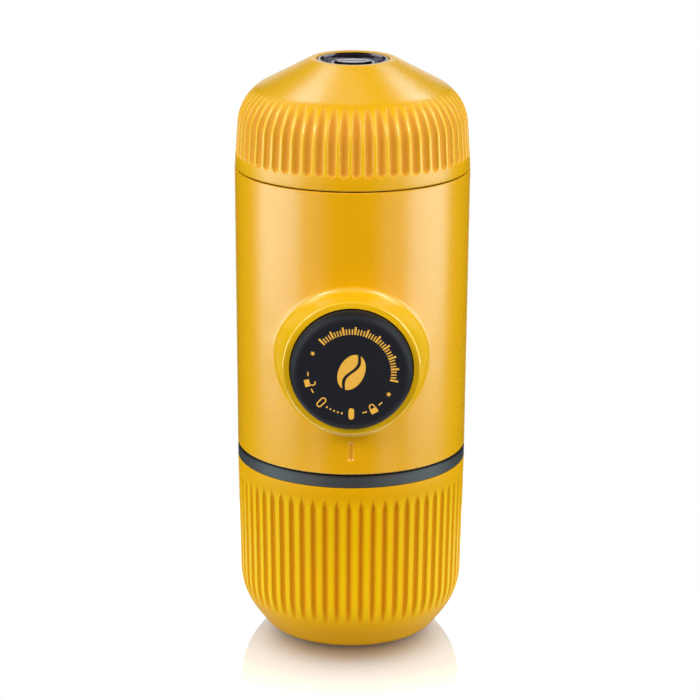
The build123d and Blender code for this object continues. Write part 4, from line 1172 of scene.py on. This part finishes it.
# %% Give the marks their thickness
raised = bmesh.ops.extrude_face_region(marks, geom=list(marks.faces))["geom"]
sunk = [item for item in raised if isinstance(item, bmesh.types.BMVert)]
bmesh.ops.translate(marks, verts=sunk, vec=(0, PRINT_DEPTH * MM, 0))
finish_piece(marks, "cap_marks", gold_print, None, "piston")

# %% [markdown]
# ## The floor
# A small round table, white and polished. It throws back a third of what it sees at this low
# angle, so its own white is that much weaker and comes back to full where the table melts into the
# room. The shoulder lamps stand high behind the maker, so a soft pool of shade lies under the foot
# and a little in front of it. It is drawn as a ramp of tones about its middle, because a shadow
# alone would hardly show in a table that is white by its own light. The table has an upper side
# only, so it doesn't hide the maker's foot from below. Its measures are in metres.

# %% The table
FLOOR_R = 0.10
FLOOR_SEGMENTS = 128
FLOOR_ROUGHNESS = 0.03
FLOOR_IOR = 3.1

floor_bm = bmesh.new()
bmesh.ops.create_circle(floor_bm, cap_ends=True, radius=FLOOR_R, segments=FLOOR_SEGMENTS)
floor_mesh = bpy.data.meshes.new("floor")
floor_bm.to_mesh(floor_mesh)
floor_bm.free()
floor = bpy.data.objects.new("floor", floor_mesh)
bpy.context.scene.collection.objects.link(floor)

table_top, tree, shader = new_finish("table_top", (0, 0, 0, 1), FLOOR_ROUGHNESS, specular=1.0)
shader.inputs["IOR"].default_value = FLOOR_IOR
floor.data.materials.append(table_top)

# %% The shade on the table
FLOOR_FADE_FROM, FLOOR_FADE_TO = 0.040, 0.056
SHADE_MIDDLE = 0, -0.010, 0
# Distances from the middle of the shade, each with its tone.
SHADE_TONES = ((0.013, 0.05), (0.0184, 0.20), (0.022, 0.39), (0.026, 0.60), (0.031, 0.74))
SHADE_TINT = 0.91, 0.945, 1.0

shade = tree.nodes.new("ShaderNodeValToRGB")
shade.color_ramp.interpolation = "B_SPLINE"
while len(shade.color_ramp.elements) < len(SHADE_TONES):
    shade.color_ramp.elements.new(0.5)
for stop, (reach, tone) in zip(shade.color_ramp.elements, SHADE_TONES):
    stop.position = reach / FLOOR_R
    stop.color = (*(tone * part for part in SHADE_TINT), 1)
near = between(tree, off_axis(tree, ROUND_UPRIGHT, SHADE_MIDDLE), 0, 1, 0, FLOOR_R)
tree.links.new(near, shade.inputs["Fac"])
fade = tree.nodes.new("ShaderNodeMix")
fade.data_type = "RGBA"
fade.inputs["B"].default_value = (1, 1, 1, 1)
reach = off_axis(tree, ROUND_UPRIGHT, (0, 0, 0))
far = between(tree, reach, 0, 1, FLOOR_FADE_FROM, FLOOR_FADE_TO)
tree.links.new(far, fade.inputs["Factor"])
tree.links.new(shade.outputs["Color"], fade.inputs["A"])
tree.links.new(fade.outputs["Result"], shader.inputs["Emission Color"])
tree.links.new(seen_by_eye(tree), shader.inputs["Emission Strength"])
print("shade out to", SHADE_TONES[-1][0], "m, white from", FLOOR_FADE_TO, "m")

# %% Only the upper side of the table
one_sided = tree.nodes.new("ShaderNodeMixShader")
geometry = tree.nodes.new("ShaderNodeNewGeometry")
clear = tree.nodes.new("ShaderNodeBsdfTransparent")
tree.links.new(geometry.outputs["Backfacing"], one_sided.inputs[0])
tree.links.new(shader.outputs[0], one_sided.inputs[1])
tree.links.new(clear.outputs[0], one_sided.inputs[2])
tree.links.new(one_sided.outputs[0], tree.nodes["Material Output"].inputs["Surface"])
